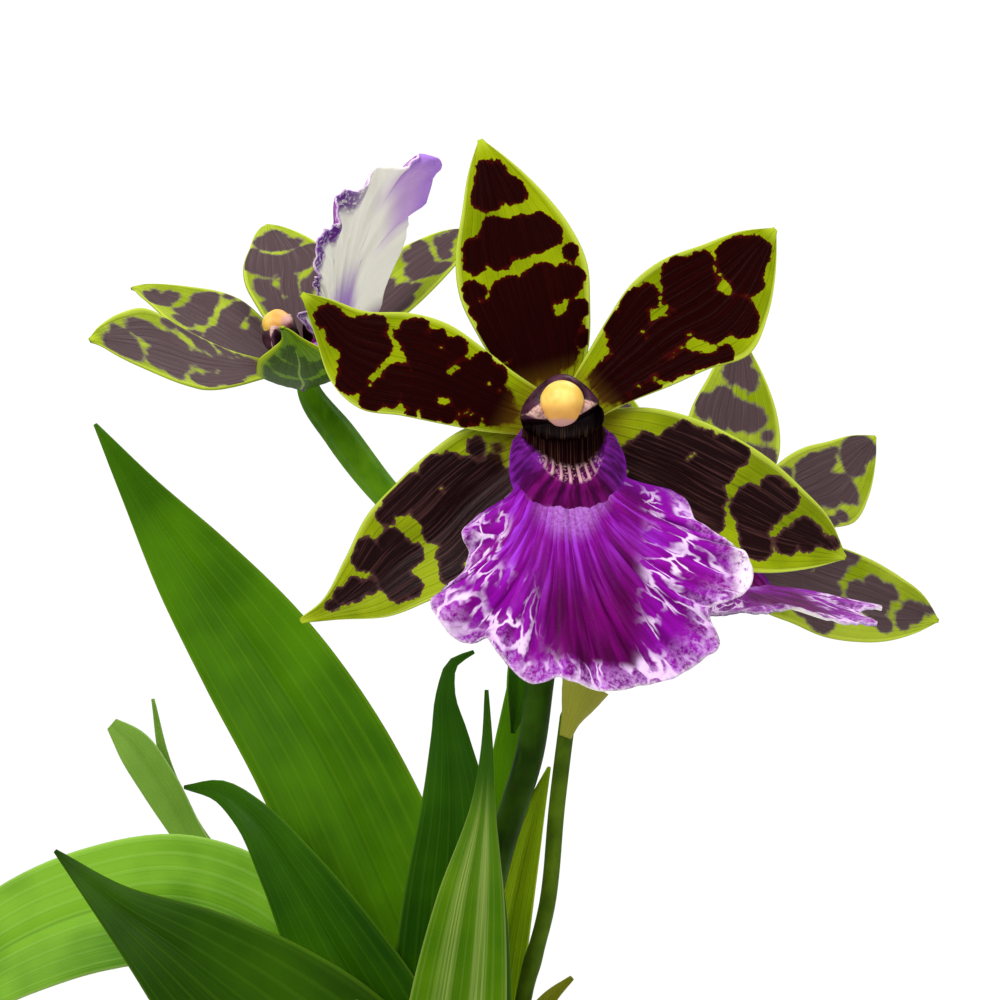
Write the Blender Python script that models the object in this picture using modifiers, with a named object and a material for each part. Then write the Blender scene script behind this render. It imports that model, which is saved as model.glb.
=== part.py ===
"""A zygopetalum orchid in flower, growing in a round nursery pot.

Sizes are in millimetres and become metres as each mesh is made. The origin is the centre of
the pot's base, +Z is up, and the front flower faces -Y. Leaves and petals are sheets one
millimetre thick, stalks are round rods, and neighbours keep a small gap.
"""

import math

import bmesh
import bpy
import numpy as np
from mathutils import Matrix, Vector

MM = 0.001

# Pot: a turned plastic shell with a rolled rim and six drain holes.
POT_HEIGHT = 100.0
POT_RIM_RADIUS = 60.0
POT_BASE_RADIUS = 42.0
POT_WALL = 1.8
RIM_BAND = 12.0
RIM_STEP = 3.0
DRAIN_HOLES = 6
DRAIN_RADIUS = 4.0
DRAIN_CIRCLE = 26.0
POT_STEPS = 40

# Bark: the potting mix inside, with chips showing at the top.
BARK_TOP = 84.0
BARK_LUMP = 3.2
BARK_GAP = 0.8
BARK_SIDES = 36

# Plant: thicknesses shared by every leaf, petal and stalk.
LEAF_THICK = 1.0
PETAL_THICK = 1.0
BULB_FOOT = 91.5
SCAPE_RADIUS = 2.2
THIN_SCAPE_RADIUS = 1.25
CAP_RADIUS = 2.4

# Where each flower's centre is, the way it faces and the way its top sepal points.
FRONT = dict(centre=(14.8, -39.6, 299.6), facing=(0.0, -0.990, 0.139), top=(0, 0, 1))
LEFT = dict(centre=(-23.7, 15.2, 302.0), facing=(0.0, -0.342, 0.940), top=(-0.87, 0.5, 0))
RIGHT = dict(centre=(40.9, 11.1, 273.0), facing=(0.2, -0.96, 0.2), top=(0, 0, 1))

# A petal's half-widths are given at these parts of its length.
ALONG = (0.0, 0.15, 0.3, 0.45, 0.6, 0.75, 0.9, 1.0)
DORSAL_SHAPE = ((2.4, 4.9, 7.1, 8.1, 7.2, 4.9, 2.5, 0.3), (2.4, 5.7, 7.8, 9.0, 8.1, 5.9, 2.8, 0.3))
PETAL_LEFT_SHAPE = ((2.6, 4.6, 6.7, 8.3, 9.9, 8.4, 3.5, 0.3), (1.4, 2.0, 4.2, 5.0, 4.0, 1.7, 1.0, 0.3))
PETAL_RIGHT_SHAPE = ((1.4, 3.0, 5.7, 7.2, 6.8, 4.8, 2.7, 0.3), (2.6, 4.0, 5.9, 7.6, 9.7, 7.7, 3.8, 0.3))
SEPAL_LEFT_SHAPE = ((3.6, 6.6, 8.1, 9.6, 8.2, 6.6, 2.9, 0.6), (2.4, 6.0, 7.0, 6.6, 5.5, 2.7, 0.2, 0.0))
SEPAL_RIGHT_SHAPE = ((2.8, 6.3, 7.9, 8.0, 7.3, 5.7, 3.4, 0.3), (3.6, 6.7, 7.6, 8.5, 8.0, 6.4, 3.2, 0.3))

# The lip hinges below and in front of the flower's centre, at a neck a little off the middle.
LIP_DROP = 4.6
LIP_FORWARD = 2.6
LIP_NECK_LEFT = -5.0
LIP_NECK_WIDE = 11.5
LIP_WAVE = 0.9
LIP_THICK = 0.8

# The lip's margin from its left neck round the hanging edge to its right neck: across, then down.
LIP_MARGIN = (
    (-6.4, 1.4), (-9.0, 7.2), (-12.4, 10.0), (-11.8, 12.6), (-13.5, 16.4), (-16.5, 19.4),
    (-14.0, 23.4), (-9.3, 24.3), (-7.0, 27.4), (-3.0, 30.2), (1.2, 30.8), (7.0, 31.0),
    (13.4, 29.4), (18.0, 26.4), (19.6, 23.6), (18.4, 20.5), (22.6, 18.6), (24.4, 15.0),
    (21.5, 11.5), (16.8, 8.4), (15.0, 5.6), (11.6, 4.9), (9.0, 3.2), (7.8, 1.2),
)


def clear_scene():
    for old in list(bpy.data.objects):
        bpy.data.objects.remove(old, do_unlink=True)


def new_collection(name, hidden=False):
    group = bpy.data.collections.new(name)
    bpy.context.scene.collection.children.link(group)
    group.hide_render = hidden
    return group


def paint(piece, colour, roughness):
    """Give the piece its own plain material."""
    material = bpy.data.materials.new(piece.name)
    material.use_nodes = True
    surface = material.node_tree.nodes["Principled BSDF"]
    surface.inputs["Base Color"].default_value = (*colour, 1.0)
    surface.inputs["Roughness"].default_value = roughness
    surface.inputs["Metallic"].default_value = 0.0
    piece.data.materials.clear()
    piece.data.materials.append(material)


def add_piece(name, shape, colour, roughness):
    """A smooth-shaded object from a finished bmesh."""
    mesh = bpy.data.meshes.new(name)
    shape.to_mesh(mesh)
    shape.free()
    mesh.shade_smooth()
    piece = bpy.data.objects.new(name, mesh)
    ORCHID.objects.link(piece)
    paint(piece, colour, roughness)
    return piece


def smooth_path(stations, count):
    """Evenly spaced points on a smooth curve through the stations. Extra columns are blended too."""
    stations = np.array(stations, float)
    steps = np.linalg.norm(np.diff(stations[:, :3], axis=0), axis=1)
    reach = np.concatenate([[0.0], np.cumsum(steps)])
    slopes = np.gradient(stations, reach, axis=0)
    path = []
    for at in np.linspace(0.0, reach[-1], count):
        i = min(int(np.searchsorted(reach, at, "right")) - 1, len(reach) - 2)
        span = reach[i + 1] - reach[i]
        t = (at - reach[i]) / span
        path.append(
            (2 * t**3 - 3 * t**2 + 1) * stations[i]
            + (t**3 - 2 * t**2 + t) * span * slopes[i]
            + (3 * t**2 - 2 * t**3) * stations[i + 1]
            + (t**3 - t**2) * span * slopes[i + 1]
        )
    return np.array(path)


def sheet(name, grid, thickness, colour, roughness):
    """A plane grid bent so that its corners lie at the given points, made into a thin closed sheet."""
    rows, columns = len(grid), len(grid[0])
    shape = bmesh.new()
    bmesh.ops.create_grid(shape, x_segments=columns - 1, y_segments=rows - 1, size=1.0)
    for corner, point in zip(shape.verts, (p for row in grid for p in row)):
        corner.co = Vector(point) * MM
    piece = add_piece(name, shape, colour, roughness)
    shell = piece.modifiers.new("thickness", "SOLIDIFY")
    shell.thickness = thickness * MM
    shell.offset = 0.0
    return piece


def rod(name, stations, radius, colour, sides=2):
    """A round stalk through the stations, each with its own share of the radius."""
    path = smooth_path([(*s, 1.0) if len(s) == 3 else s for s in stations], 4 * len(stations) - 3)
    line = bpy.data.curves.new(name, "CURVE")
    line.dimensions = "3D"
    line.bevel_depth = radius * MM
    line.bevel_resolution = sides
    line.use_fill_caps = True
    spline = line.splines.new("POLY")
    spline.points.add(len(path) - 1)
    for point, at in zip(spline.points, path):
        point.co = (*(at[:3] * MM), 1.0)
        point.radius = at[3]
    spline.use_smooth = True
    piece = bpy.data.objects.new(name, line)
    ORCHID.objects.link(piece)
    paint(piece, colour, 0.5)
    return piece


def loft(name, rings, colour, roughness):
    """A closed solid through rings that all have the same number of points."""
    shape = bmesh.new()
    hoops = [[shape.verts.new(Vector(p) * MM) for p in ring] for ring in rings]
    for low, high in zip(hoops, hoops[1:]):
        for i in range(len(low)):
            j = (i + 1) % len(low)
            shape.faces.new((low[i], low[j], high[j], high[i]))
    shape.faces.new(hoops[0])
    shape.faces.new(hoops[-1])
    bmesh.ops.recalc_face_normals(shape, faces=shape.faces)
    return add_piece(name, shape, colour, roughness)


def oval_ring(centre, across, deep, sides=16):
    """A level ring of points round a centre."""
    x, y, z = centre
    turns = [2 * math.pi * i / sides for i in range(sides)]
    return [(x + across * math.cos(turn), y + deep * math.sin(turn), z) for turn in turns]


def turned(name, profile, steps, colour, roughness):
    """A profile at +X spun round the Z axis. It runs down the outer side, top to bottom."""
    edges = [(i, i + 1) for i in range(len(profile) - 1)]
    mesh = bpy.data.meshes.new(name)
    mesh.from_pydata([(r * MM, 0.0, z * MM) for r, z in profile], edges, [])
    piece = bpy.data.objects.new(name, mesh)
    ORCHID.objects.link(piece)
    spin = piece.modifiers.new("spin", "SCREW")
    spin.steps = spin.render_steps = steps
    spin.use_merge_vertices = True
    spin.merge_threshold = 0.00005
    spin.use_smooth_shade = True
    paint(piece, colour, roughness)
    return piece


def pot_wall_radius(z):
    """The outer radius of the pot's wall below its rim."""
    slope = (POT_RIM_RADIUS - RIM_STEP - POT_BASE_RADIUS) / POT_HEIGHT
    return POT_BASE_RADIUS + slope * z


def make_pot():
    """A tapered pot, its wall one thickness all round, with a thicker rim band and drain holes."""
    band_z = POT_HEIGHT - RIM_BAND
    rim_inner = POT_RIM_RADIUS - POT_WALL
    profile = [
        (0.0, POT_WALL),
        (pot_wall_radius(POT_WALL) - POT_WALL - 1.5, POT_WALL),
        (pot_wall_radius(POT_WALL) - POT_WALL, POT_WALL + 1.5),
        (pot_wall_radius(band_z) - POT_WALL, band_z + 1.0),
        (rim_inner - 0.8, band_z + 3.0),
        (rim_inner - 0.4, POT_HEIGHT - 0.8),
        (rim_inner + 0.4, POT_HEIGHT),
        (POT_RIM_RADIUS - 0.6, POT_HEIGHT),
        (POT_RIM_RADIUS, POT_HEIGHT - 0.8),
        (POT_RIM_RADIUS - 0.4, band_z + 0.6),
        (POT_RIM_RADIUS - 1.0, band_z),
        (pot_wall_radius(band_z), band_z - 0.8),
        (pot_wall_radius(1.5), 1.5),
        (POT_BASE_RADIUS - 1.2, 0.0),
        (0.0, 0.0),
    ]
    pot = turned("pot", profile, POT_STEPS, (0.55, 0.20, 0.09), 0.45)
    for i in range(DRAIN_HOLES):
        cut_drain_hole(pot, f"drain_hole_{i + 1}", 2 * math.pi * (i + 0.5) / DRAIN_HOLES)
    return pot


def cut_drain_hole(pot, name, turn):
    """One round hole through the pot's base."""
    spot = Vector((math.cos(turn), math.sin(turn), 0.0)) * DRAIN_CIRCLE * MM
    bpy.ops.mesh.primitive_cylinder_add(vertices=16, radius=DRAIN_RADIUS * MM, depth=12 * MM, location=spot)
    cutter = bpy.context.object
    cutter.name = name
    for group in list(cutter.users_collection):
        group.objects.unlink(cutter)
    CUTTERS.objects.link(cutter)
    cutter.hide_render = True
    cutter.display_type = "WIRE"
    hole = pot.modifiers.new(name, "BOOLEAN")
    hole.operation = "DIFFERENCE"
    hole.solver = "EXACT"
    hole.object = cutter


def make_bark():
    """The potting mix: one body that fills the pot, its top rough with bark chips."""
    dice = np.random.default_rng(7)
    inset = POT_WALL + BARK_GAP
    foot = POT_WALL + BARK_GAP
    edge = pot_wall_radius(BARK_TOP) - inset - 0.3
    rings = []
    for part in (0.06, 0.18, 0.3, 0.42, 0.54, 0.66, 0.78, 0.9):
        level = oval_ring((0, 0, BARK_TOP), edge * part, edge * part, BARK_SIDES)
        rings.append([(x, y, z + BARK_LUMP * (dice.random() - 0.6)) for x, y, z in level])
    for z, radius in ((BARK_TOP, edge), (foot + 2.0, pot_wall_radius(foot + 2.0) - inset),
                      (foot, pot_wall_radius(foot) - inset - 1.5)):
        rings.append(oval_ring((0, 0, z), radius, radius, BARK_SIDES))
    bark = loft("potting_bark", rings, (0.12, 0.06, 0.03), 0.9)
    bark.data.shade_flat()
    return bark


def make_bulb(name, centre, across, deep, height):
    """A pseudobulb: an egg with a narrow top, turned and then flattened, on the rhizome."""
    shape = ((1.0, 0.0), (1.0, 0.16), (0.95, 0.27), (0.84, 0.46), (0.7, 0.7), (0.52, 0.92),
             (0.34, 1.0), (0.18, 0.94), (0.06, 0.72), (0.0, 0.45), (0.0, 0.0))
    profile = [(wide * across, part * height) for part, wide in shape]
    bulb = turned(name, profile, 18, (0.16, 0.30, 0.04), 0.45)
    bulb.location = Vector((*centre, BULB_FOOT)) * MM
    bulb.scale.y = deep / across
    return bulb


def make_leaf(name, stations, facing_foot, facing_tip, channel=(-0.35, 0.1), rows=15, columns=5,
              colour=(0.06, 0.22, 0.01)):
    """A strap leaf along its midrib. Each station is a point and the half-width there.

    The facing vectors say where the upper side looks at the foot and at the tip, and channel
    is how far the margins stand forward of the midrib there, as a share of the half-width.
    """
    path = smooth_path(stations, rows)
    ways = np.gradient(path[:, :3], axis=0)
    grid = []
    for i, (station, way) in enumerate(zip(path, ways)):
        way = way / np.linalg.norm(way)
        t = i / (rows - 1)
        look = (1 - t) * np.array(facing_foot, float) + t * np.array(facing_tip, float)
        side = np.cross(look, way)
        side /= np.linalg.norm(side)
        up = np.cross(way, side)
        half = max(station[3], 0.3)
        deep = channel[1] + (channel[0] - channel[1]) * max(0.0, 1 - t / 0.45) ** 2
        grid.append([
            station[:3] + side * half * v + up * deep * half * abs(v) ** 1.5
            for v in np.linspace(-1, 1, columns)
        ])
    return sheet(name, grid, LEAF_THICK, colour, 0.4)


def place(piece, flower, forward=0.0):
    """Stand a flower piece, made facing +Z, at its flower's centre and facing its way."""
    look = Vector(flower["facing"]).normalized()
    top = Vector(flower["top"])
    top = (top - look * top.dot(look)).normalized()
    across = top.cross(look)
    turn = Matrix((across, top, look)).transposed()
    piece.rotation_euler = turn.to_euler()
    piece.location = (Vector(flower["centre"]) + look * forward) * MM


def make_petal(flower, name, angle, reach, shape, start=3.6, back=0.0, rise=0.0, arch=1.5, cup=0.08, wide=1.0):
    """A petal or sepal: angle is its direction clockwise from the top, reach its tip's distance."""
    turn = math.radians(angle)
    out = np.array((math.sin(turn), math.cos(turn), 0.0))
    right = np.array((math.cos(turn), -math.sin(turn), 0.0))
    left_half, right_half = (np.array(s) * wide for s in shape)
    grid = []
    for t in np.linspace(0.0, 1.0, 10):
        far = start + (reach - start) * t
        low = -np.interp(t, ALONG, left_half)
        high = np.interp(t, ALONG, right_half)
        lift = -back + far * math.tan(math.radians(rise)) + arch * 4 * t * (1 - t)
        grid.append([
            out * far + right * (low + (high - low) * (v + 1) / 2)
            + np.array((0, 0, lift + cup * (high - low) / 2 * v * v))
            for v in np.linspace(-1, 1, 5)
        ])
    petal = sheet(name, grid, PETAL_THICK, (0.05, 0.012, 0.006), 0.5)
    place(petal, flower)
    return petal


def make_lip(flower, name, pitch, size=1.0, wide=1.0):
    """The lip: a wide fan that hangs from a narrow neck, its ribs bent outward, and waves along its margin."""
    margin = np.array(LIP_MARGIN) * (size * wide, size)
    count = len(margin)
    tilt = math.radians(pitch)
    grid = []
    for out in np.linspace(0.0, 1.0, 7):
        row = []
        for i, (x, down) in enumerate(margin):
            neck_x = (LIP_NECK_LEFT + LIP_NECK_WIDE * i / (count - 1)) * size * wide
            bend_x = neck_x + 0.05 * (x - neck_x)
            bend_down = down * (0.85 - 0.25 * down / (31 * size))
            across = neck_x * (1 - out) ** 2 + bend_x * 2 * out * (1 - out) + x * out**2
            along = bend_down * 2 * out * (1 - out) + down * out**2
            wave = LIP_WAVE * size * out**2 * math.sin(0.8 * i)
            dome = 3.0 * size * out * (1 - out) - 0.004 * across**2 + wave
            row.append((
                across,
                -LIP_DROP * size - along * math.cos(tilt) + dome * math.sin(tilt),
                LIP_FORWARD * size + along * math.sin(tilt) + dome * math.cos(tilt),
            ))
        grid.append(row)
    lip = sheet(name, grid, LIP_THICK, (0.20, 0.01, 0.30), 0.5)
    place(lip, flower)
    return lip


def make_callus(flower, name, pitch, size=1.0, high=3.4):
    """The ribbed collar across the lip's neck, a fat horseshoe open at the top."""
    tilt = math.radians(pitch)
    stations = []
    for turn in range(-75, 76, 25):
        a = math.radians(turn)
        across = (0.8 + 5.0 * math.sin(a)) * size
        along = 4.2 * math.cos(a) * size
        stations.append((
            across,
            -LIP_DROP * size - along * math.cos(tilt) + high * size * math.sin(tilt),
            LIP_FORWARD * size + along * math.sin(tilt) + high * size * math.cos(tilt),
            1.0 - 0.35 * abs(turn) / 75,
        ))
    callus = rod(name, stations, 1.6 * size, (0.18, 0.02, 0.25))
    place(callus, flower)
    return callus


def lean_back(point, degrees):
    """Tip a point of the column toward the top sepal."""
    x, y, z = point
    a = math.radians(degrees)
    return (x, y * math.cos(a) + z * math.sin(a), z * math.cos(a) - y * math.sin(a))


def make_column(flower, name, size=1.0, lean=0.0):
    """The column: a short stout post that opens into a hood."""
    rings = [
        [lean_back(p, lean) for p in
         oval_ring((0.1 * size, (0.4 + shift) * size, z * size), across * size, deep * size)]
        for z, across, deep, shift in (
            (0.6, 2.3, 1.9, 0.0), (2.2, 2.8, 2.1, 0.1), (4.0, 4.4, 2.7, 0.5),
            (5.8, 5.4, 3.4, 1.2), (7.2, 5.0, 3.3, 1.8), (7.8, 3.8, 2.5, 2.1),
        )
    ]
    column = loft(name, rings, (0.06, 0.005, 0.04), 0.45)
    place(column, flower)
    return column


def make_anther_cap(flower, name, size=1.0, lean=0.0):
    """The pale round cap in front of the column's tip."""
    ball = bmesh.new()
    bmesh.ops.create_uvsphere(ball, u_segments=14, v_segments=9, radius=CAP_RADIUS * size * MM)
    centre = Vector(lean_back((0.3, 3.2, 10.6), lean))
    bmesh.ops.translate(ball, verts=ball.verts, vec=centre * size * MM)
    cap = add_piece(name, ball, (0.85, 0.60, 0.25), 0.4)
    place(cap, flower)
    return cap


def make_front_flower():
    """The large open flower that faces the viewer."""
    make_petal(FRONT, "front_dorsal_sepal", -15.5, 38.8, DORSAL_SHAPE, back=1.8, rise=1.0, arch=1.0)
    make_petal(FRONT, "front_petal_left", -63.2, 37.5, PETAL_LEFT_SHAPE, rise=2.0)
    make_petal(FRONT, "front_petal_right", 47.8, 37.7, PETAL_RIGHT_SHAPE, rise=2.0)
    make_petal(FRONT, "front_lateral_sepal_left", -126.8, 42.7, SEPAL_LEFT_SHAPE, 4.2, 1.8, -1.0, 0.6)
    make_petal(FRONT, "front_lateral_sepal_right", 114.8, 41.5, SEPAL_RIGHT_SHAPE, 4.2, 1.8, -1.0, 0.6)
    make_lip(FRONT, "front_lip", 20.0)
    make_callus(FRONT, "front_callus", 20.0)
    make_column(FRONT, "front_column")
    make_anther_cap(FRONT, "front_anther_cap")


def make_left_flower():
    """The flower behind on the left, which looks up with its lip standing."""
    size = 0.87
    make_petal(LEFT, "left_dorsal_sepal", 0.0, 33.0, DORSAL_SHAPE, 3.6, 1.8, 12.0, 1.0, 0.12, size)
    make_petal(LEFT, "left_petal_near", -55.5, 35.5, PETAL_LEFT_SHAPE, 4.8, 0.0, 23.0, -1.5, 0.12, size)
    make_petal(LEFT, "left_petal_far", 47.0, 34.0, PETAL_RIGHT_SHAPE, 4.6, 0.0, 15.0, 1.0, 0.12, size)
    make_petal(LEFT, "left_lateral_sepal_near", -119.0, 32.0, SEPAL_LEFT_SHAPE, 4.0, 1.8, 33.0, -3.0,
               0.12, 0.8)
    make_petal(LEFT, "left_lateral_sepal_far", 110.0, 35.0, SEPAL_RIGHT_SHAPE, 4.2, 2.2, 20.0, 0.6, 0.12, size)
    make_lip(LEFT, "left_lip", 78.0, 1.12, 0.78)
    make_callus(LEFT, "left_callus", 78.0, size, 3.0)
    make_column(LEFT, "left_column", size, 18.0)
    make_anther_cap(LEFT, "left_anther_cap", size, 18.0)


def make_right_flower():
    """The flower behind on the right, its lip held out level."""
    size = 0.87
    make_petal(RIGHT, "right_dorsal_sepal", 10.0, 33.2, DORSAL_SHAPE, 3.8, 1.8, 2.0, 1.0, 0.1, size)
    make_petal(RIGHT, "right_petal_left", -29.0, 32.0, PETAL_LEFT_SHAPE, 4.2, 0.0, 4.0, 1.0, 0.1, size)
    make_petal(RIGHT, "right_petal_right", 52.3, 32.4, PETAL_RIGHT_SHAPE, 4.0, 0.0, 3.0, 1.0, 0.1, size)
    make_petal(RIGHT, "right_lateral_sepal_left", -104.0, 30.0, SEPAL_LEFT_SHAPE, 4.0, 1.8, -5.0, 0.6,
               0.1, size)
    make_petal(RIGHT, "right_lateral_sepal_right", 106.3, 37.0, SEPAL_RIGHT_SHAPE, 4.0, 1.8, 0.0, 0.6, 0.1, size)
    make_lip(RIGHT, "right_lip", 76.0, 0.9)
    make_callus(RIGHT, "right_callus", 76.0, size, 2.8)
    make_column(RIGHT, "right_column", size, 20.0)
    make_anther_cap(RIGHT, "right_anther_cap", size, 20.0)


def make_stalks():
    """Two flower stalks from the rhizome, and the stem of each flower."""
    green = (0.07, 0.20, 0.02)
    rod("scape_left", [
        (4.0, -6.2, 93.0), (3.5, -6.0, 140.0), (2.0, -3.6, 180.0), (2.5, -1.4, 205.5),
        (7.0, 1.9, 228.7), (11.5, 4.0, 243.0), (13.6, 5.2, 257.5)], SCAPE_RADIUS, green)
    rod("scape_right", [
        (14.5, -4.0, 93.0), (14.5, -9.5, 140.0), (12.0, -12.2, 185.0), (10.2, -11.0, 207.0),
        (14.3, -5.9, 223.3), (15.8, -2.8, 238.1), (17.6, 1.0, 251.5)], THIN_SCAPE_RADIUS, green)
    rod("front_pedicel", [
        (14.4, 2.8, 260.4, 0.8), (13.9, -4.6, 272.0, 0.85), (14.5, -14.5, 284.5, 0.95),
        (14.8, -25.3, 293.6, 1.1), (14.8, -33.6, 298.2, 1.0), (14.8, -37.6, 299.0, 0.85)], 2.0, green)
    rod("left_pedicel", [
        (12.2, 7.8, 260.6, 0.8), (5.4, 8.6, 268.0, 0.85), (-2.4, 10.5, 275.5, 0.95),
        (-10.3, 12.9, 282.5, 1.1), (-18.4, 15.2, 292.5, 1.2), (-23.4, 15.9, 299.6, 0.85)], 2.0, green)
    rod("right_pedicel", [
        (19.4, 2.6, 254.6, 0.75), (23.8, 8.6, 257.4, 0.8), (29.6, 15.4, 261.0, 0.9),
        (35.6, 19.0, 265.6, 1.05), (39.2, 17.6, 269.6, 1.0), (40.4, 14.0, 272.0, 0.85)], 1.9, green)


def make_bracts():
    """The small papery leaves at the joints of the stalks."""
    straw = (0.30, 0.30, 0.06)
    toward = (0.1, -1.0, 0.1)
    make_leaf("scape_bract", [
        (12.6, -12.2, 208.0, 1.5), (14.6, -12.4, 210.6, 1.1), (17.8, -12.6, 213.6, 0.4)],
        toward, toward, (0.3, 0.3), 5, 3, straw)
    make_leaf("right_flower_bract", [
        (16.2, -4.2, 245.2, 1.2), (17.6, -3.2, 248.8, 2.6), (19.2, -2.2, 252.4, 3.6), (20.6, -1.4, 255.6, 3.4)],
        (-0.1, 1.0, 0.1), (-0.1, 1.0, 0.1), (0.5, 0.5), 7, 5, straw)
    make_leaf("left_flower_bract", [
        (8.9, 7.2, 246.0, 1.4), (9.6, 9.4, 252.5, 2.6), (9.0, 12.2, 258.5, 0.6)],
        (0.6, -1.0, 0.2), (0.6, -1.0, 0.2), (0.5, 0.5), 6, 5, straw)


def make_leaves():
    """The fan of leaves round the shoot, from the front of the plant to the back."""
    near, upward = (0.0, -1.0, 0.1), (-0.1, -0.8, 0.6)
    make_leaf("leaf_streaked", [
        (-0.6, -21.6, 95.0, 6.2), (1.0, -23.4, 125.0, 6.8), (2.0, -24.8, 155.0, 7.4), (0.2, -25.6, 180.0, 7.8),
        (-0.8, -25.6, 199.7, 7.8), (0.2, -25.4, 214.8, 6.8), (1.4, -23.8, 229.4, 4.6),
        (4.1, -17.6, 242.2, 1.8), (5.1, -12.0, 249.8, 1.0), (5.0, -8.4, 256.7, 0.3)], near, near)
    make_leaf("leaf_front_left", [
        (-1.0, -19.2, 95.0, 5.8), (-2.0, -20.8, 130.0, 7.4), (-4.4, -22.0, 160.0, 9.6), (-9.0, -22.6, 182.0, 11.0),
        (-17.7, -22.8, 197.8, 11.5), (-28.4, -23.2, 210.1, 10.4), (-38.5, -22.4, 219.4, 7.4),
        (-49.0, -19.5, 227.3, 3.2), (-58.4, -15.5, 234.2, 0.3)], near, (-0.1, -1.0, 0.5))
    make_leaf("leaf_small", [
        (-11.0, -22.0, 96.0, 3.2), (-10.0, -26.6, 130.0, 4.2), (-9.4, -29.4, 165.0, 4.4), (-10.4, -29.6, 190.0, 3.4),
        (-12.0, -29.2, 206.0, 1.7), (-13.4, -28.6, 216.5, 0.3)], near, near, columns=3, colour=(0.20, 0.36, 0.02))
    make_leaf("leaf_mid", [
        (-1.2, -16.8, 96.0, 5.4), (-2.2, -18.2, 140.0, 7.2), (-4.8, -18.8, 185.0, 9.0),
        (-10.1, -18.6, 206.9, 8.5), (-17.5, -16.6, 220.1, 7.0), (-24.3, -13.8, 230.9, 4.6),
        (-30.2, -10.6, 238.1, 2.7), (-35.0, -7.6, 240.9, 1.7), (-40.9, -5.0, 240.8, 0.3)], near, near)
    make_leaf("leaf_hooked", [
        (-1.2, -14.4, 96.0, 5.0), (-0.8, -15.3, 140.0, 7.2), (-0.6, -15.4, 180.0, 9.0),
        (-0.4, -15.0, 207.0, 9.2), (0.2, -14.2, 226.7, 7.6), (0.3, -12.2, 241.0, 4.9),
        (-0.5, -9.4, 250.0, 2.8), (-1.1, -7.4, 256.2, 1.4), (-0.1, -6.2, 260.2, 0.8),
        (3.1, -6.0, 262.0, 0.3)], near, near)
    make_leaf("leaf_tall", [
        (-1.4, -12.0, 97.0, 4.6), (-2.0, -12.2, 140.0, 7.4), (-1.6, -9.8, 175.0, 11.0),
        (-4.0, -7.4, 206.0, 11.6), (-12.2, -2.4, 226.9, 11.4), (-21.3, 3.1, 244.4, 10.8),
        (-31.0, 8.1, 258.4, 9.6), (-41.2, 12.0, 271.6, 6.8), (-50.4, 14.7, 284.0, 3.0),
        (-57.2, 16.1, 294.0, 0.3)], near, near, rows=19)
    make_leaf("leaf_right", [
        (2.5, 4.9, 139.0, 2.5), (3.6, 5.4, 165.0, 3.6), (5.6, 5.8, 195.0, 4.0),
        (8.9, 6.4, 218.2, 3.4), (11.2, 6.2, 229.0, 2.4), (13.2, 4.8, 236.5, 1.2),
        (14.6, 1.6, 242.0, 0.3)], near, near, colour=(0.20, 0.36, 0.02))
    make_leaf("leaf_behind_lip", [
        (-1.0, 9.0, 139.0, 2.6), (1.0, 10.0, 170.0, 4.2), (4.0, 11.4, 203.2, 4.6),
        (7.0, 12.6, 218.3, 4.2), (8.3, 14.0, 233.5, 3.8), (9.7, 16.0, 244.7, 3.0),
        (11.8, 17.4, 257.5, 1.8), (14.7, 17.4, 267.4, 0.3)], near, near, colour=(0.14, 0.34, 0.03))
    make_leaf("leaf_arching", [
        (-7.0, 19.4, 96.0, 6.0), (-9.0, 18.0, 140.0, 7.5), (-14.0, 16.0, 180.0, 9.0),
        (-23.0, 16.0, 199.3, 9.8), (-33.7, 19.0, 210.1, 10.2), (-46.4, 21.4, 213.9, 10.6),
        (-59.8, 21.4, 212.2, 10.4), (-72.7, 19.1, 207.7, 9.6), (-86.0, 14.5, 199.0, 6.8),
        (-97.0, 9.0, 188.0, 3.0), (-103.0, 5.0, 180.0, 0.3)],
        near, upward, rows=19, colour=(0.16, 0.40, 0.04))
    make_leaf("leaf_back", [
        (-21.0, 31.0, 131.0, 2.4), (-24.0, 29.6, 165.0, 3.0), (-29.0, 29.0, 196.2, 2.6),
        (-38.2, 31.0, 209.5, 2.2), (-46.3, 33.6, 220.7, 2.6), (-52.2, 36.4, 229.7, 3.3),
        (-57.4, 39.3, 236.1, 2.8), (-60.7, 40.7, 238.9, 1.2)], near, near, colour=(0.14, 0.34, 0.04))
    make_leaf("leaf_sliver", [
        (-22.0, 36.5, 131.0, 1.8), (-28.0, 36.5, 170.0, 2.2), (-38.5, 38.6, 208.2, 1.8),
        (-47.6, 41.3, 221.4, 1.3), (-52.1, 44.6, 230.5, 1.0), (-54.8, 48.1, 241.6, 0.3)],
        near, near, columns=3, colour=(0.14, 0.34, 0.04))
    make_leaf("leaf_low_right", [
        (27.5, 14.0, 131.5, 3.0), (33.0, 11.0, 150.0, 7.0), (45.0, 5.0, 168.0, 10.0),
        (60.0, -2.0, 175.0, 10.5), (74.0, -8.0, 168.0, 7.5), (84.0, -12.0, 156.0, 3.0),
        (89.0, -14.0, 148.0, 0.3)], (0.6, 0.0, 1.0), (0.2, -0.3, 1.0))
    make_leaf("leaf_low_back", [
        (-17.5, 34.0, 131.0, 3.0), (-12.0, 40.0, 148.0, 7.0), (0.0, 50.0, 160.0, 10.0),
        (14.0, 60.0, 160.0, 9.5), (26.0, 68.0, 150.0, 6.5), (34.0, 73.0, 138.0, 2.6),
        (38.0, 75.0, 130.0, 0.3)], (-0.4, 0.3, 1.0), (0.1, 0.2, 1.0))


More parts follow.
